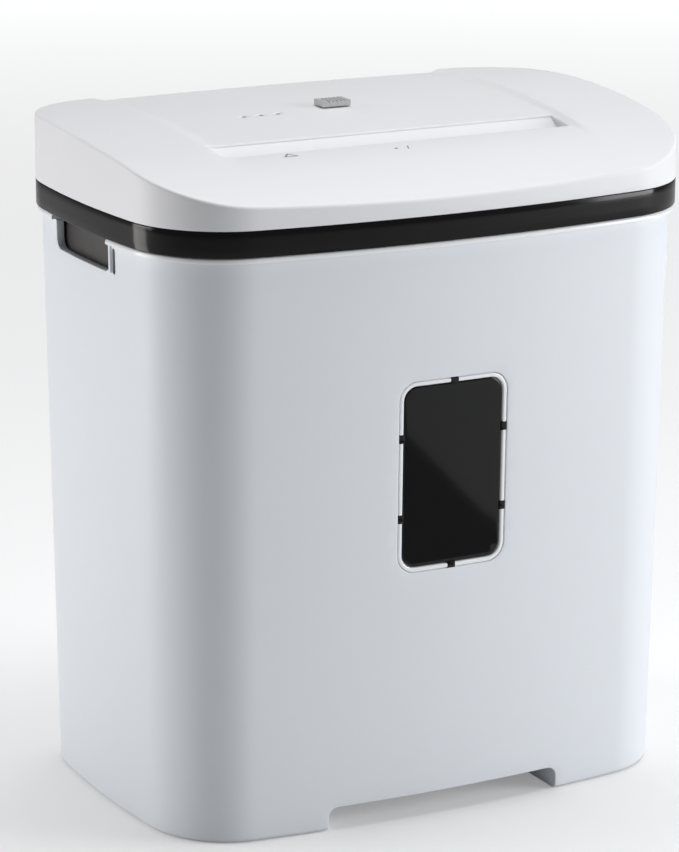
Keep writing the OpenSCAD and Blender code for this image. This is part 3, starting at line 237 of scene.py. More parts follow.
# a rounded edge, as how far an opening's loop has grown and how deep the edge lies there
FILLET = [(0.5, 0.0), (0.31, 0.04), (0.15, 0.15), (0.04, 0.31), (0.0, 0.5)]
FOOT_V = 3 - 3 * math.pi / 2
seam_l, seam_r = -1.5 * QUARTER, 2.5 * QUARTER
grip_mid, grip_w = [side_u(7.7), -side_u(7.7)], 74.6
channel_mid, channel_w = [0.0, 2 * QUARTER], 153.0
pad_edge = FILLET + [(0, 4.3), (0.2, 4.65), (0.5, PAD_T), (4.0, PAD_T), (4.0, WALL_T)]


def grip(k, grow):
    """Edge of a finger cut-out: 0 is the right side's and 1 the left side's."""
    return notch(grip_w, RIM_V, GRIP_FLOOR, 6.0, grow, grip_mid[k])


def channel(k, grow):
    """Edge of the channel under the bin, at the front (0) and at the back (1)."""
    return notch(channel_w, FOOT_V, CHANNEL_TOP, 6.0, grow, channel_mid[k])


def walk(a, b, step=2.8):
    """Evenly spaced lengths round the outline from a to b."""
    return np.linspace(a, b, max(2, round((b - a) / step)) + 1)


def rim_stretches(grow):
    """The stretches of the rim between the finger cut-outs, split at the seam at the back. Their points are
    those of the thick pad's edge, 4 mm from the cut-out, with one more where the stretch starts nearer."""
    pads = [grip(1, 4.0)[[0, -1], 0], grip(0, 4.0)[[0, -1], 0]]
    near = 4.0 - grow
    stretches = [walk(seam_l, pads[0][0]), walk(pads[0][1], pads[1][0]), walk(pads[1][1], seam_r)]
    if near > 0:
        a, b, c = stretches
        stretches = [np.append(a, a[-1] + near), np.concatenate([[b[0] - near], b, [b[-1] + near]]),
                     np.insert(c, 0, c[0] - near)]
    return stretches


def foot_stretches(grow):
    """The stretches of the foot's edge between the ends of the channel."""
    ahead, behind = channel(0, grow), channel(1, grow)
    return [walk(seam_l, ahead[0, 0]), walk(ahead[-1, 0], behind[0, 0]), walk(behind[-1, 0], seam_r)]


def bin_skin(depth, grip_grow, channel_grow, holes):
    """The bin's wall at one depth: a net over (u, v) between the foot and the rim, less every opening."""
    feet, rims = foot_stretches(channel_grow), rim_stretches(grip_grow)
    level = lambda us, v: np.stack([us, np.full(len(us), v)], -1)
    seam = lambda u: np.stack([np.full(len(rows), u), rows], -1)
    rows = np.concatenate([np.linspace(FOOT_V, 3, 6), np.linspace(3, RIM_V, 30)[1:]])
    rim = np.concatenate([
        level(feet[0], FOOT_V)[:-1], channel(0, channel_grow), level(feet[1], FOOT_V)[1:-1],
        channel(1, channel_grow), level(feet[2], FOOT_V)[1:-1],
        seam(seam_r)[:-1],
        level(rims[2], RIM_V)[::-1][:-1], grip(0, grip_grow)[::-1], level(rims[1], RIM_V)[::-1][1:-1],
        grip(1, grip_grow)[::-1], level(rims[0], RIM_V)[::-1][1:-1],
        seam(seam_l)[::-1][:-1],
    ])
    flat, tris = trimmed(rim, holes, np.linspace(seam_l, seam_r, 381)[1:-1], rows[1:-1])
    return wall(flat[:, 0], flat[:, 1], depth), tris


def carried(loop, profile, ring):
    """A profile carried along an opening's edge: each pair gives how far the loop grows and its depth."""
    return sheet_grid(np.stack([wall(*loop(g).T, d) for g, d in profile]), ring)


PANE_W, PANE_H, PANE_R, PANE_MID = 64.0, 106.0, 8.9, 205.0
FRAME_W = 3.2
RIB_AT, GROOVE_AT = 38.9, 42.3  # out from the middle of the cut-out
window = lambda g: closed_loop(PANE_W + 2 * FRAME_W, PANE_H + 2 * FRAME_W, 11.2, g, (0, PANE_MID))
beside = lambda k, reach: grip_mid[k] + (k * 2 - 1) * reach
groove = lambda k, g: closed_loop(3.2, 14.6, 1.59, g, (beside(k, GROOVE_AT), 328.2), 3.0)
cap_of = lambda points: (points, [list(range(len(points)))])
parts = [
    bin_skin(0.0, 0.5, 0.5, [window(0.5), groove(0, 0.5), groove(1, 0.5)]),
    bin_skin(WALL_T, 4.0, WALL_T, [window(5.0)]),
]

# the sunk frame round the pane: a narrow groove, then a raised polished ring, coloured whiter than the wall as a
# painted highlight
frame_edge = FILLET + [(0, 1.3), (-0.45, 1.3)]
ring_edge = [(-0.45, 1.3), (-0.52, 0.55), (-0.66, 0.28), (-0.95, 0.18), (-2.15, 0.18), (-2.55, 0.3),
             (-2.8, 0.6), (-3.0, 1.2), (-3.05, 2.95), (-7.2, 2.95)]
# the ring takes the whiter copy of the wall's finish: a painted highlight
parts.append(carried(window, ring_edge, True) + (1,))
parts.append(carried(window, [(-7.2, 2.95), (-7.2, 5.5), (5.0, 5.5), (5.0, WALL_T)], True))
parts.append(carried(window, frame_edge, True))

# the thick pad round each finger cut-out and the blind groove beside it
for k in (0, 1):
    parts.append(carried(lambda g: grip(k, g), pad_edge, False))
    parts.append(carried(lambda g: groove(k, g), [(0.5, 0.0), (0.2, 0.08), (0.0, 0.3)], True))
    # the groove's walls and floor take a grey finish: painted shade, darker than the groove's own depth would make
    # them
    parts.append(carried(lambda g: groove(k, g), [(0.0, 0.3), (0, 2.0), (-0.3, 2.3)], True) + (2,))
    parts.append(cap_of(wall(*groove(k, -0.3).T, 2.3)) + (2,))

# the channel that runs under the bin from front to back
for k in (0, 1):
    parts.append(carried(lambda g: channel(k, g), FILLET, False))
for grow, depth in ((0.0, 0.5), (WALL_T, WALL_T)):
    front_edge = wall(*channel(0, grow).T, depth)
    back_edge = front_edge * [1, -1, 1]
    rows = np.linspace(0, 1, 9)[:, None, None]
    parts.append(sheet_grid(front_edge * (1 - rows) + back_edge * rows))

# soles under the two feet and the floor above them
for grow, depth in ((0.5, 0.0), (WALL_T, WALL_T)):
    feet = foot_stretches(grow)
    right = wall(feet[1], FOOT_V, depth)
    left = np.concatenate([wall(feet[2], FOOT_V, depth)[:-1], wall(feet[0], FOOT_V, depth)])
    if depth == 0:
        turns = np.array([[wall(*channel(k, g)[e], d) for g, d in FILLET[1:]]
                          for k, e in ((0, -1), (1, 0), (1, -1), (0, 0))])
        right = np.concatenate([turns[0][::-1], right, turns[1]])
        left = np.concatenate([turns[2][::-1], left, turns[3]])
    parts += [cap_of(right), cap_of(left)]

# the lip round the rim, as inset and height: it stands proud of the wall, with a rounded edge, and ends in a
# flat cap on each side of a finger cut-out
lip = [(3.5, RIM_V), (3.5, 337.5), (3.4, LIP_V), (1.1, LIP_V), (0.88, 337.7), (0.8, 337.9), (0.85, 338.9),
       (1.1, 339.8), (1.6, 340.4), (2.3, 340.6), (5.7, 340.6), (6.0, 340.3), (6.0, RIM_V)]
for us in rim_stretches(0.5):
    rows = [np.stack([*outline(us, i), np.full(len(us), z)], -1) for i, z in lip]
    # the lip takes the whiter copy of the wall's finish: a painted highlight on a lip that the band above shades
    parts.append(sheet_grid(np.stack(rows)) + (1,))
for k in (0, 1):
    for end in (0, -1):
        parts.append(cap_of(np.array([wall(*grip(k, g)[end], d) for g, d in pad_edge + [(0.5, WALL_T)]])))
        u = grip(k, 0.5)[end, 0]
        parts.append(cap_of(np.array([[*outline(u, i), z] for i, z in lip], float)))

# the rib beside each cut-out: a rounded bar that rises from the wall up into the lip
for k in (0, 1):
    a = np.linspace(0, 2 * math.pi, 25)[:-1]
    round_bar = np.stack([np.sign(np.cos(a)) * np.abs(np.cos(a)) ** 0.5 * 1.25,
                          np.sign(np.sin(a)) * np.abs(np.sin(a)) ** 0.5 * 1.5], -1)
    v = np.concatenate([GRIP_FLOOR + 1.5 * (1 - np.cos(np.linspace(0, 1.4, 6))), np.linspace(323, 337.4, 6)])
    swell = np.concatenate([np.sin(np.linspace(0.3, 1.4, 6)), np.ones(6)])
    section = round_bar[None] * swell[:, None, None]
    bar = wall(beside(k, RIB_AT) + section[..., 0], np.broadcast_to(v[:, None], section.shape[:2]),
               0.4 - section[..., 1])
    parts.append(sheet_grid(bar, True))
    parts += [cap_of(bar[0]), cap_of(bar[-1])]

bin_body = assemble("bin_body", parts, "base", ["bin"])


class Wire:
    """One value in a finish's node tree. Arithmetic on it adds Math nodes, and node() adds any other node."""

    def __init__(self, tree, socket=None):
        self.tree, self.socket = tree, socket

    def node(self, kind, settings=None, values=None, out=0, stops=None):
        made = self.tree.nodes.new("ShaderNode" + kind)
        for key, value in (settings or {}).items():
            setattr(made, key, value)
        if stops:
            ramp = made.color_ramp
            for n, (place, colour) in enumerate(stops):
                stop = ramp.elements[n] if n < len(ramp.elements) else ramp.elements.new(place)
                stop.position, stop.color = place, (*colour, 1)
        for key, value in (values or {}).items():
            if isinstance(value, Wire):
                self.tree.links.new(value.socket, made.inputs[key])
            elif isinstance(value, tuple) and len(value) == 3 and len(made.inputs[key].default_value) == 4:
                made.inputs[key].default_value = (*value, 1)
            else:
                made.inputs[key].default_value = value
        return Wire(self.tree, made.outputs[out])

    def maths(self, operation, *values):
        return self.node("Math", {"operation": operation}, dict(enumerate(values)))

    def __add__(self, other): return self.maths("ADD", self, other)
    def __radd__(self, other): return self.maths("ADD", other, self)
    def __sub__(self, other): return self.maths("SUBTRACT", self, other)
    def __rsub__(self, other): return self.maths("SUBTRACT", other, self)
    def __mul__(self, other): return self.maths("MULTIPLY", self, other)
    def __rmul__(self, other): return self.maths("MULTIPLY", other, self)
    def __pow__(self, other): return self.maths("POWER", self, other)

    def noise(self, where, scale, detail=3.0, rough=0.55):
        return self.node("TexNoise", None, {"Vector": where, "Scale": scale, "Detail": detail, "Roughness": rough})

    def mix(self, factor, a, b):
        return self.node("Mix", {"data_type": "RGBA"}, {0: factor, 6: a, 7: b}, out=2)

    def stretch(self, where, scale):
        return self.node("Mapping", None, {"Vector": where, "Scale": scale})

    def bump(self, height, depth, strength=1.0):
        return self.node("Bump", None, {"Height": height, "Distance": depth, "Strength": strength})


def finish_of(name, build, **fixed):
    """A material whose Principled shader takes fixed values on its own sockets and varying ones from build."""
    made = bpy.data.materials.new(name)
    made.use_nodes = True
    tree = made.node_tree
    shader = tree.nodes["Principled BSDF"]
    for key, value in fixed.items():
        socket = shader.inputs[key.replace("_", " ")]
        socket.default_value = (*value, 1) if isinstance(value, tuple) else value
    start = Wire(tree)
    place = start.node("TexCoord", out=3)
    for key, value in build(start, place).items():
        tree.links.new(value.socket, shader.inputs[key.replace("_", " ")])
    return made


def moulded(name, pale, deep, rough, grain=0.00001, scale=1800.0, **fixed):
    """Moulded plastic: two close tints drift over each other in broad clouds, a fine spark-eroded grain stands
    as bump, and the sheen varies a little where the mould was polished unevenly."""
    def build(w, place):
        cloud = w.noise(place, 9.0, 2.0)
        fleck = w.noise(place, 260.0, 4.0)
        pimple = w.noise(place, scale, 2.0, 0.4)
        rub = w.noise(w.stretch(place, (22, 22, 60)), 1.0, 3.0)
        return {
            "Base_Color": w.mix(cloud * 0.7 + fleck * 0.3, deep, pale),
            "Roughness": rough + (rub - 0.5) * 0.10 + (fleck - 0.5) * 0.04,
            "Normal": w.bump(pimple, grain),
        }
    return finish_of(name, build, **fixed)


# the wall's satin white; the polished white of the ring and the lip, whiter than the wall as a painted highlight;
# and the groove's grey, which is painted shade
for finish in (
    moulded("bin_white", (0.770, 0.800, 0.835), (0.745, 0.775, 0.812), 0.44, 0.000012, 1500.0,
            Specular_IOR_Level=0.42),
    moulded("ring_and_lip_painted_highlight", (0.900, 0.915, 0.930), (0.880, 0.895, 0.910), 0.22, 0.000004, 1500.0),
    moulded("groove_painted_shade", (0.330, 0.350, 0.370), (0.300, 0.320, 0.340), 0.55, 0.00002, 1500.0),
):
    bin_body.data.materials.append(finish)

# ---------------------------------------------------------------------------
# The window pane: smoked acrylic, polished on both faces, with six small snap
# tabs that reach across the frame into slots.
PANE_FRONT, PANE_BACK = 0.7, 2.75  # depths in from the wall's face
TAB_W, TAB_REACH = 5.2, 3.8
pane_loop = lambda g: closed_loop(PANE_W, PANE_H, PANE_R, g, (0, PANE_MID), 4.0)
front_skin, front_tris = trimmed(pane_loop(-0.8), [], np.arange(-30, 31, 5.0), np.arange(155, 256, 5.0))
pane_edge = [(-0.8, PANE_FRONT), (-0.5, 0.74), (-0.25, 0.88), (-0.12, 1.1), (-0.1, 1.4), (-0.1, PANE_BACK),
             (-0.8, PANE_BACK)]
pane_parts = [
    (wall(*front_skin.T, PANE_FRONT), front_tris),
    (wall(*front_skin.T, PANE_BACK), front_tris),
    carried(pane_loop, pane_edge, True),
]
tab_spots = [(0, z, TAB_W, TAB_REACH) for z in (54.3, -54.3)]
tab_spots += [(x, z, TAB_REACH, TAB_W) for x in (-33.3, 33.3) for z in (-23.5, 23.5)]
for across_at, up_at, w, h in tab_spots:
    rows = [wall(*closed_loop(w, h, 0.6, g, (across_at, PANE_MID + up_at), 2.0).T, d)
            for g, d in ((0, 1.9), (0, 0.35), (-0.08, 0.17), (-0.3, 0.1))]
    pane_parts.append(sheet_grid(np.stack(rows), True))
    pane_parts += [cap_of(rows[0]), cap_of(rows[-1])]
pane = assemble("smoked_window", pane_parts, "base", ["window_pane"])


def smoked(w, place):
    """Smoked acrylic: nearly black with a faint drift, and dust-fine rubbing marks in the polish."""
    haze = w.noise(place, 30.0, 4.0)
    wipe = w.noise(w.stretch(place, (40, 40, 400)), 1.0, 4.0)
    return {"Base_Color": w.mix(haze, (0.0055, 0.0055, 0.006), (0.0075, 0.0075, 0.008)),
            "Roughness": 0.045 + haze * 0.03 + wipe * 0.02}


pane.data.materials.append(finish_of("smoked_acrylic", smoked, Specular_IOR_Level=0.30))

# ---------------------------------------------------------------------------
# The black band: a polished ring between the bin's lip and the cover, clipped
# on from below, with a small rounded edge all round.
BAND_BOTTOM, BAND_TOP, BAND_T = 340.9, 355.85, 2.8
band_us = np.linspace(0, ROUND, 421)[:-1]
band_profile = [(0.0, 341.5), (0.08, 341.2), (0.3, 340.98), (0.6, BAND_BOTTOM), (2.3, BAND_BOTTOM),
                (BAND_T, 341.3), (BAND_T, 355.4), (2.4, BAND_TOP), (0.6, BAND_TOP), (0.3, 355.77),
                (0.08, 355.55), (0.0, 355.25), (0.0, 351.0), (0.0, 346.0)]
rows = [np.stack([*outline(band_us, i), np.full(len(band_us), z)], -1)
        for i, z in band_profile + band_profile[:1]]
band = assemble("gloss_band", [sheet_grid(np.stack(rows), True)], "head", ["trim_band"])


def piano_black(w, place):
    """Polished black plastic: deep black, a faint orange peel from the mould and handling haze."""
    haze = w.noise(place, 24.0, 4.0)
    peel = w.noise(place, 120.0, 2.0)
    return {"Base_Color": w.mix(haze, (0.0040, 0.0035, 0.0038), (0.0062, 0.0052, 0.0055)),
            "Roughness": 0.10 + haze * 0.06, "Normal": w.bump(peel, 0.000004)}


band.data.materials.append(finish_of("piano_black", piano_black, Specular_IOR_Level=0.22))

# ---------------------------------------------------------------------------
# The head's cover: one white moulding, crowned from front to back, with a
# rounded crease above an upright skirt, a shallow dish behind the paper slot,
# a funnel down to the cutters and a notch at the back for the cord's gland.
COVER_Z, CREASE = 355.9, 1.5
SLOT_W, SLOT_D, SLOT_Y = 225.0, 20.0, -42.0
GLAND_X, GLAND_W, GLAND_TOP = 60, 18.6, 378.2


def bow(a, b, c, n=60):
    """A quadratic curve from a to c that leaves and arrives along the lines to b."""
    t = np.linspace(0, 1, n)[:, None]
    a, b, c = map(np.array, (a, b, c))
    return (1 - t) ** 2 * a + 2 * t * (1 - t) * b + t ** 2 * c


crown_line = np.concatenate([
    bow((-HALF_D, 365.3), (-86.6, 380.6), (-46, 387.4)),
    bow((-46, 387.4), (6, 394.2), (50, 394.4)),
    bow((50, 394.4), (82, 394.4), (HALF_D, 391.9)),
])


def cover_top(x, y):
    """Height of the cover: three joined curves from front to back, less a dish 2 mm deep that fades in toward
    the slot as a square and whose side edges step down smoothly over a few millimetres."""
    fade = np.clip((y + 83) / 31, 0, 1) ** 2
    edge = np.clip((118.5 - np.abs(x)) / np.where(x < 0, 13.0, 5.0), 0, 1)
    return np.interp(y, crown_line[:, 0], crown_line[:, 1]) - 2.0 * fade * edge * edge * (3 - 2 * edge)


back_step = 2 * QUARTER - FRONT_R * np.arcsin(np.array([119, 118, 117, 116, 115, 114, 113]) / FRONT_R)
edge_us = np.unique(np.concatenate([np.linspace(0, ROUND, 421)[:-1], back_step, 4 * QUARTER - back_step]))
gland_u = 2 * QUARTER + FRONT_R * math.asin(GLAND_X / FRONT_R)
gland_notch = notch(GLAND_W, COVER_Z + 0.5, GLAND_TOP, 9.299, 0.0, gland_u, 3.0)
edge_us = edge_us[np.abs(edge_us - gland_u) > 9.9]
edge_us = np.sort(np.concatenate([edge_us, gland_notch[[0, -1], 0]]))


def skirt(u, z, depth=0.0):
    """Upright face of the cover: the plan outline, moved in by the depth, at a height."""
    return np.stack([*outline(u, depth), np.broadcast_to(z, np.shape(u)).astype(float)], -1)


def crease_row(turn):
    """One row of the crease: the outline moved in and the top lowered by a quarter circle's two legs."""
    x, y = outline(edge_us, CREASE * (1 - math.cos(turn)))
    return np.stack([x, y, cover_top(x, y) - CREASE * (1 - math.sin(turn))], -1)


creases = np.stack([crease_row(a) for a in np.radians([0, 12, 26, 42, 58, 74, 90])])
inner_rows = [outline(edge_us, i) for i in (CREASE, 4.5, 7.0)]
cover_rim = np.stack(inner_rows[-1], -1)
slot_loop = lambda g: closed_loop(SLOT_W, SLOT_D, 1.2, g, (0, SLOT_Y))
knob_slot = closed_loop(16.0, 3.6, 0.4, 0.0, (0, 30), 3.0)
lamp_holes = [closed_loop(3.1, 3.1, 1.54, 0.0, (x, 22), 3.0) for x in (-62, -51, -40)]
dish_edges = [s * np.arange(112.5, 119.6, 0.7) for s in (-1, 1)] + [np.arange(-112, -104, 1.5)]
steps_x = np.unique(np.concatenate([np.arange(-172, 173, 4.0), *dish_edges]))
flat, tris = trimmed(cover_rim, [slot_loop(1.2), knob_slot] + lamp_holes, steps_x, np.arange(-118, 119, 3.5), 0.5)
on_cover = lambda p, drop=0.0: np.column_stack([p, cover_top(p[:, 0], p[:, 1]) - drop])
cover_parts = [
    (on_cover(flat), tris),
    sheet_grid(creases, True),
    sheet_grid(np.stack([np.stack([x, y, cover_top(x, y)], -1) for x, y in inner_rows]), True),
]

# the skirt, with the gland's notch cut in from its lower edge
lower = np.stack([edge_us, np.full(len(edge_us), COVER_Z + 0.5)], -1)
cut_at = np.searchsorted(edge_us, gland_u)
before, after = lower[:cut_at], lower[cut_at:]
upper = np.stack([edge_us, creases[0][:, 2]], -1)
close_u = lambda row: np.vstack([row, row[:1] + [ROUND, 0]])
rising = COVER_Z + 0.5 + np.arange(1, 3) * 3.0
start_side = np.stack([np.zeros(2), rising], -1)
skirt_rim = np.vstack([before[:-1], gland_notch, after[1:], [[ROUND, COVER_Z + 0.5]],
                       start_side + [ROUND, 0], close_u(upper)[::-1], start_side[::-1]])
flat, tris = trimmed(skirt_rim, [], np.linspace(0, ROUND, 421)[1:-1], np.arange(359.5, 394, 3.5), 1.0)
cover_parts.append((skirt(flat[:, 0], flat[:, 1]), tris))
cover_parts.append(sheet_grid(np.stack([skirt(*gland_notch.T, d) for d in (0.0, 0.3, 3.1)])))
for us in (edge_us[:cut_at], np.append(edge_us[cut_at:], ROUND)):
    rows = [skirt(us, COVER_Z + z, i) for i, z in ((0.5, 0), (0.2, 0.12), (0.06, 0.25), (0, 0.5))]
    cover_parts.append(sheet_grid(np.stack(rows)))

# the slot's rounded edge and the funnel that narrows behind it down to the throat
lip_rows = [on_cover(slot_loop(g), drop)
            for g, drop in ((1.2, 0.0), (0.75, 0.1), (0.35, 0.38), (0.1, 0.75), (0.0, 1.2))]
THROAT_Y, THROAT_TOP, THROAT_END, NARROWED = -49.0, 376.4, 371.1, 0.3
throat = slot_loop(0.0) * [1, NARROWED] + [0, THROAT_Y - NARROWED * SLOT_Y]
n = np.linspace(0, 1, 6)[1:, None, None]
low = np.column_stack([throat, np.full(len(throat), THROAT_TOP)])
funnel = lip_rows[-1] * (1 - n) + low * n
chute = np.column_stack([throat, np.full(len(throat), THROAT_END)])
cover_parts.append(sheet_grid(np.concatenate([np.stack(lip_rows), funnel, chute[None]]), True))
cover = assemble("head_shell", cover_parts, "head", ["head_cover"], open_skin=True)
thick = cover.modifiers.new("wall", "SOLIDIFY")
thick.thickness, thick.offset, thick.use_even_offset = 0.0022, -1.0, False


def cover_finish(w, place):
    """White moulded plastic with three small printed marks in dark grey: an open triangle, a dot and a slanted
    dash, each cut from distances in plan."""
    cloud = w.noise(place, 9.0, 2.0)
    fleck = w.noise(place, 260.0, 4.0)
    pimple = w.noise(place, 1600.0, 2.0, 0.4)
    x, y = (w.node("SeparateXYZ", None, {0: place}, out=axis) * 1000.0 for axis in (0, 1))
    below = lambda value, most: w.maths("LESS_THAN", value, most)
    above = lambda value, least: w.maths("GREATER_THAN", value, least)
    off = lambda value: w.maths("ABSOLUTE", value)

    aside_by, up_by = off(x + 74.0), y + 61.5
    wedge = lambda size, foot: below(aside_by, (size - up_by) * 0.75) * above(up_by, foot)
    dot = below((x + 9.0) ** 2.0 + (y + 64.0) ** 2.0, 1.1)
    dash = below(off(x + 1.4 - (y + 64.0) * 0.35), 0.45) * below(off(y + 64.0), 2.4)
    ink = w.node("Clamp", None, {"Value": wedge(6.4, 0.0) - wedge(4.6, 0.9) + dot + dash})
    base = w.mix(cloud * 0.7 + fleck * 0.3, (0.790, 0.790, 0.812), (0.815, 0.815, 0.836))
    return {"Base_Color": w.mix(ink * 0.85, base, (0.08, 0.08, 0.09)),
            "Roughness": 0.42 + (fleck - 0.5) * 0.05 + (cloud - 0.5) * 0.08, "Normal": w.bump(pimple, 0.00001)}


cover.data.materials.append(finish_of("cover_white", cover_finish, Specular_IOR_Level=0.42))


# ---------------------------------------------------------------------------
# Black and dark mouldings of the head: the lower casing that hangs in the
# bin, the paper guide, combs, switches, fan and knob, in fine-textured ABS.
def dress(finish, *nodes):
    """Gives CAD nodes, whose shapes stay as they are, their finish."""
    for name in nodes:
        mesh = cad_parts[name].data
        mesh.materials.clear()
        mesh.materials.append(finish)


dress(moulded("casing_black", (0.019, 0.015, 0.014), (0.014, 0.011, 0.010), 0.42, 0.00002, 1100.0), "lower_casing")
dress(moulded("guide_black", (0.030, 0.029, 0.031), (0.022, 0.021, 0.023), 0.45, 0.000015, 1500.0),
      "throat_guide", "comb_front", "comb_rear", "sensor_flag", "sensor_block", "mode_switch")
dress(moulded("knob_grey", (0.50, 0.50, 0.51), (0.45, 0.45, 0.46), 0.38, 0.00001, 1500.0), "mode_knob")
dress(moulded("switch_black", (0.026, 0.026, 0.028), (0.018, 0.018, 0.020), 0.38, 0.00001, 2200.0),
      "interlock_switch", "thermal_cutout", "motor_fan")
dress(moulded("gland_rubber", (0.024, 0.024, 0.026), (0.014, 0.014, 0.016), 0.72, 0.00003, 700.0), "cord_gland")
dress(moulded("plunger_red", (0.56, 0.045, 0.035), (0.46, 0.035, 0.03), 0.35, 0.000006, 1400.0),
      "interlock_plunger")
dress(moulded("gear_nylon", (0.80, 0.77, 0.66), (0.70, 0.66, 0.54), 0.40, 0.00001, 900.0), "gear_first")
dress(moulded("relay_blue", (0.06, 0.15, 0.36), (0.05, 0.12, 0.30), 0.30, 0.000005, 1800.0), "power_relays")
dress(moulded("capacitor_yellow", (0.60, 0.42, 0.08), (0.52, 0.35, 0.06), 0.32, 0.000006, 1500.0),
      "power_capacitor")
dress(moulded("terminal_white", (0.78, 0.78, 0.74), (0.68, 0.68, 0.62), 0.42, 0.00001, 1500.0), "terminal_block")
dress(moulded("lead_brown", (0.26, 0.13, 0.07), (0.20, 0.10, 0.05), 0.48, 0.00001, 1200.0), "supply_leads")
dress(moulded("lead_red", (0.50, 0.06, 0.05), (0.40, 0.05, 0.04), 0.48, 0.00001, 1200.0), "motor_leads")
dress(moulded("brush_carbon", (0.055, 0.055, 0.058), (0.030, 0.030, 0.032), 0.62, 0.00003, 900.0), "motor_brushes")
dress(moulded("lamp_clear", (0.86, 0.87, 0.85), (0.74, 0.76, 0.75), 0.10, 0.000002, 900.0,
              Transmission_Weight=0.6, IOR=1.5), "indicator_lamps", "light_pipe")


# ---------------------------------------------------------------------------
# Steel: zinc-plated plates and bridge, turned shafts, hardened cutter discs
# wet with oil, sintered gears, plated screws and the motor's can.
def steel(name, bright, dull, rough, grain, depth=0.000004, blotch=40.0):
    """Bare or plated steel: fine drawn or turned lines from noise stretched along one axis, cloudy tarnish
    between two tints and a sheen that follows both."""
    def build(w, place):
        line = w.noise(w.stretch(place, grain), 1.0, 5.0, 0.7)
        stain = w.noise(place, blotch, 5.0, 0.65)
        speck = w.noise(place, 900.0, 2.0)
        tone = w.node("ValToRGB", None, {"Fac": stain * 0.75 + line * 0.25}, stops=[(0.3, dull), (0.7, bright)])
        return {"Base_Color": tone, "Roughness": rough + (stain - 0.5) * 0.22 + (line - 0.5) * 0.12,
                "Normal": w.bump(line * 0.7 + speck * 0.3, depth)}
    return finish_of(name, build, Metallic=1.0)


dress(steel("zinc_plate", (0.63, 0.65, 0.67), (0.47, 0.49, 0.52), 0.36, (40, 500, 40)),
      "side_plate_left", "side_plate_right", "gear_bridge")
dress(steel("turned_shaft", (0.60, 0.60, 0.61), (0.42, 0.42, 0.44), 0.25, (1600, 20, 20)),
      "cutter_shaft_front", "cutter_shaft_rear", "tie_rods", "gear_pins", "motor_shaft", "sensor_pin",
      "spacers_front", "spacers_rear")
dress(steel("cutter_steel", (0.40, 0.40, 0.41), (0.20, 0.20, 0.21), 0.28, (1200, 60, 60), 0.000006, 70.0),
      "cutter_discs_front", "cutter_discs_rear", "shaft_clips_front", "shaft_clips_rear")
dress(steel("sintered_gear", (0.42, 0.42, 0.42), (0.25, 0.25, 0.26), 0.46, (300, 300, 300), 0.00001, 90.0),
      "sync_gear_front", "sync_gear_rear", "drive_gear", "gear_second", "motor_pinion")
dress(steel("plated_screw", (0.72, 0.73, 0.74), (0.56, 0.57, 0.58), 0.22, (200, 200, 900), 0.000003, 160.0),
      "tie_rod_nuts", "bridge_screws", "motor_screws", "casing_screws", "small_screws")
dress(steel("motor_plate", (0.50, 0.51, 0.53), (0.34, 0.35, 0.37), 0.34, (700, 30, 30)),
      "motor_can", "motor_end_bells")
dress(steel("spring_wire", (0.55, 0.55, 0.56), (0.38, 0.38, 0.40), 0.24, (500, 500, 60)), "interlock_spring")
dress(steel("oiled_bronze", (0.56, 0.40, 0.22), (0.36, 0.25, 0.13), 0.38, (250, 250, 250), 0.00001, 120.0),
      "shaft_bushes")
dress(steel("copper_bars", (0.72, 0.42, 0.28), (0.48, 0.26, 0.16), 0.28, (900, 60, 60)), "motor_commutator")


# ---------------------------------------------------------------------------
# Windings: enamelled copper wire laid side by side on the stator and rotor,
# with the brown varnish that holds the turns.
def wound(w, place):
    """Laid wire: close waves across the turns give the rounds, noise breaks them up and stains the varnish."""
    turns = w.node("TexWave", {"bands_direction": "X"},
                   {"Vector": place, "Scale": 420.0, "Distortion": 1.5}, out=1)
    stain = w.noise(place, 90.0, 4.0)
    return {"Base_Color": w.mix(stain * 0.6 + turns * 0.4, (0.20, 0.07, 0.03), (0.56, 0.25, 0.11)),
            "Roughness": 0.30 + stain * 0.2, "Normal": w.bump(turns, 0.0002)}


dress(finish_of("varnished_winding", wound, Metallic=0.6), "motor_stator", "motor_armature")


# ---------------------------------------------------------------------------
# Circuit boards: green solder mask over copper tracks on glass laminate.
def masked_board(w, place):
    """Solder mask: straight cells of tracks show as a slightly lighter green that stands a hair proud."""
    cell = w.node("TexBrick", None, {"Vector": place, "Scale": 160.0, "Mortar Size": 0.05,
                                     "Color1": (0.0, 0.0, 0.0), "Color2": (0.4, 0.4, 0.4),
                                     "Mortar": (1.0, 1.0, 1.0)})
    weave = w.noise(place, 1200.0, 2.0)
    return {"Base_Color": w.mix(cell, (0.020, 0.105, 0.045), (0.045, 0.19, 0.08)),
            "Roughness": 0.26 + weave * 0.14, "Normal": w.bump(cell, 0.00003)}


dress(finish_of("board_green", masked_board), "power_board", "control_board")

# ---------------------------------------------------------------------------
# Studio: a pale floor that runs out of sight, and large soft lights left and
# right of the shredder and above it.
plane = bpy.data.meshes.new("studio_floor")
FLOOR_Z = -0.0002
plane.from_pydata([(x, y, FLOOR_Z) for x, y in ((-9, -6), (9, -6), (9, 14), (-9, 14))], [], [(0, 1, 2, 3)])
floor = bpy.data.objects.new("studio_floor", plane)
bpy.context.scene.collection.objects.link(floor)


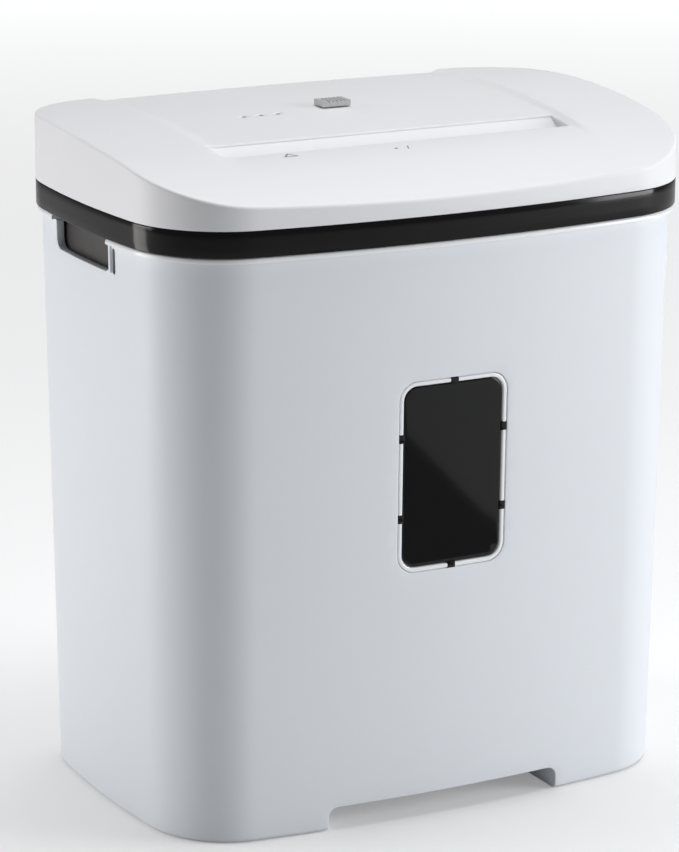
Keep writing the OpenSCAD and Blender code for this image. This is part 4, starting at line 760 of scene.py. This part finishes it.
def pale_floor(w, place):
    """Pale paper sweep: even and matt, lit a little more the further it runs from the shredder, and burnt out
    toward white for the lens while it throws back only part of the light."""
    away = w.node("VectorMath", {"operation": "LENGTH"}, {0: place}, out=1)
    far = w.node("MapRange", {"interpolation_type": "SMOOTHSTEP"},
                 {"Value": away, "From Min": 0.7, "From Max": 4.5, "To Min": 0.0, "To Max": 0.75})
    seen = w.node("LightPath")
    return {"Base_Color": w.mix(w.noise(place, 2.0), (0.70, 0.70, 0.705), (0.73, 0.73, 0.73)),
            "Roughness": 0.7 + w.noise(place, 6.0) * 0.1, "Emission_Color": seen * (far + 0.22)}


floor.data.materials.append(finish_of("pale_floor", pale_floor, Specular_IOR_Level=0.1, Emission_Strength=1.0))

# a grey card out of the lens's sight, whose slanted edge shows in the pane's polish
CARD_Y = -0.46
card_edge = [(0.02, 0.001), (0.34, 0.001), (0.242, 0.049), (0.122, 0.125), (0.02, 0.190)]
card_mesh = bpy.data.meshes.new("studio_card")
card_mesh.from_pydata([(x, CARD_Y, z) for x, z in card_edge], [], [tuple(range(len(card_edge)))])
card = bpy.data.objects.new("studio_card", card_mesh)
bpy.context.scene.collection.objects.link(card)
card.data.materials.append(moulded("card_grey", (0.16, 0.16, 0.16), (0.14, 0.14, 0.14), 0.9))
card.visible_camera = card.visible_diffuse = card.visible_shadow = False

sky = bpy.data.worlds.new("studio_air")
sky.use_nodes = True
air = sky.node_tree.nodes["Background"].inputs
air["Color"].default_value, air["Strength"].default_value = (0.95, 0.97, 1.0, 1), 0.20
bpy.context.scene.world = sky
bpy.context.scene.view_settings.view_transform = "Standard"

for name, place, aim, wide, tall, power, tint in (
    ("light_left", (-2.3, 1.3, 0.8), (0, 0, 0.2), 1.3, 1.3, 27, (1, 0.99, 0.98)),
    ("light_right", (2.3, -1.6, 0.7), (0, 0, 0.15), 1.3, 1.3, 56, (0.98, 0.99, 1)),
    ("light_above", (0.5, 0.2, 2.5), (0, 0, 0.2), 2.0, 2.0, 43, (1, 1, 1)),
    ("light_strip", (-0.72, 0.36, 0.165), (-0.16, -0.06, 0.32), 0.26, 0.30, 1.0, (1, 0.98, 0.96)),
):
    lamp = bpy.data.lights.new(name, "AREA")
    lamp.shape, lamp.size, lamp.size_y, lamp.energy, lamp.color = "RECTANGLE", wide, tall, power, tint
    stand = bpy.data.objects.new(name, lamp)
    stand.location = place
    stand.rotation_mode = "QUATERNION"
    stand.rotation_quaternion = (Vector(aim) - Vector(place)).to_track_quat("-Z", "Y")
    stand.visible_camera = False
    bpy.context.scene.collection.objects.link(stand)
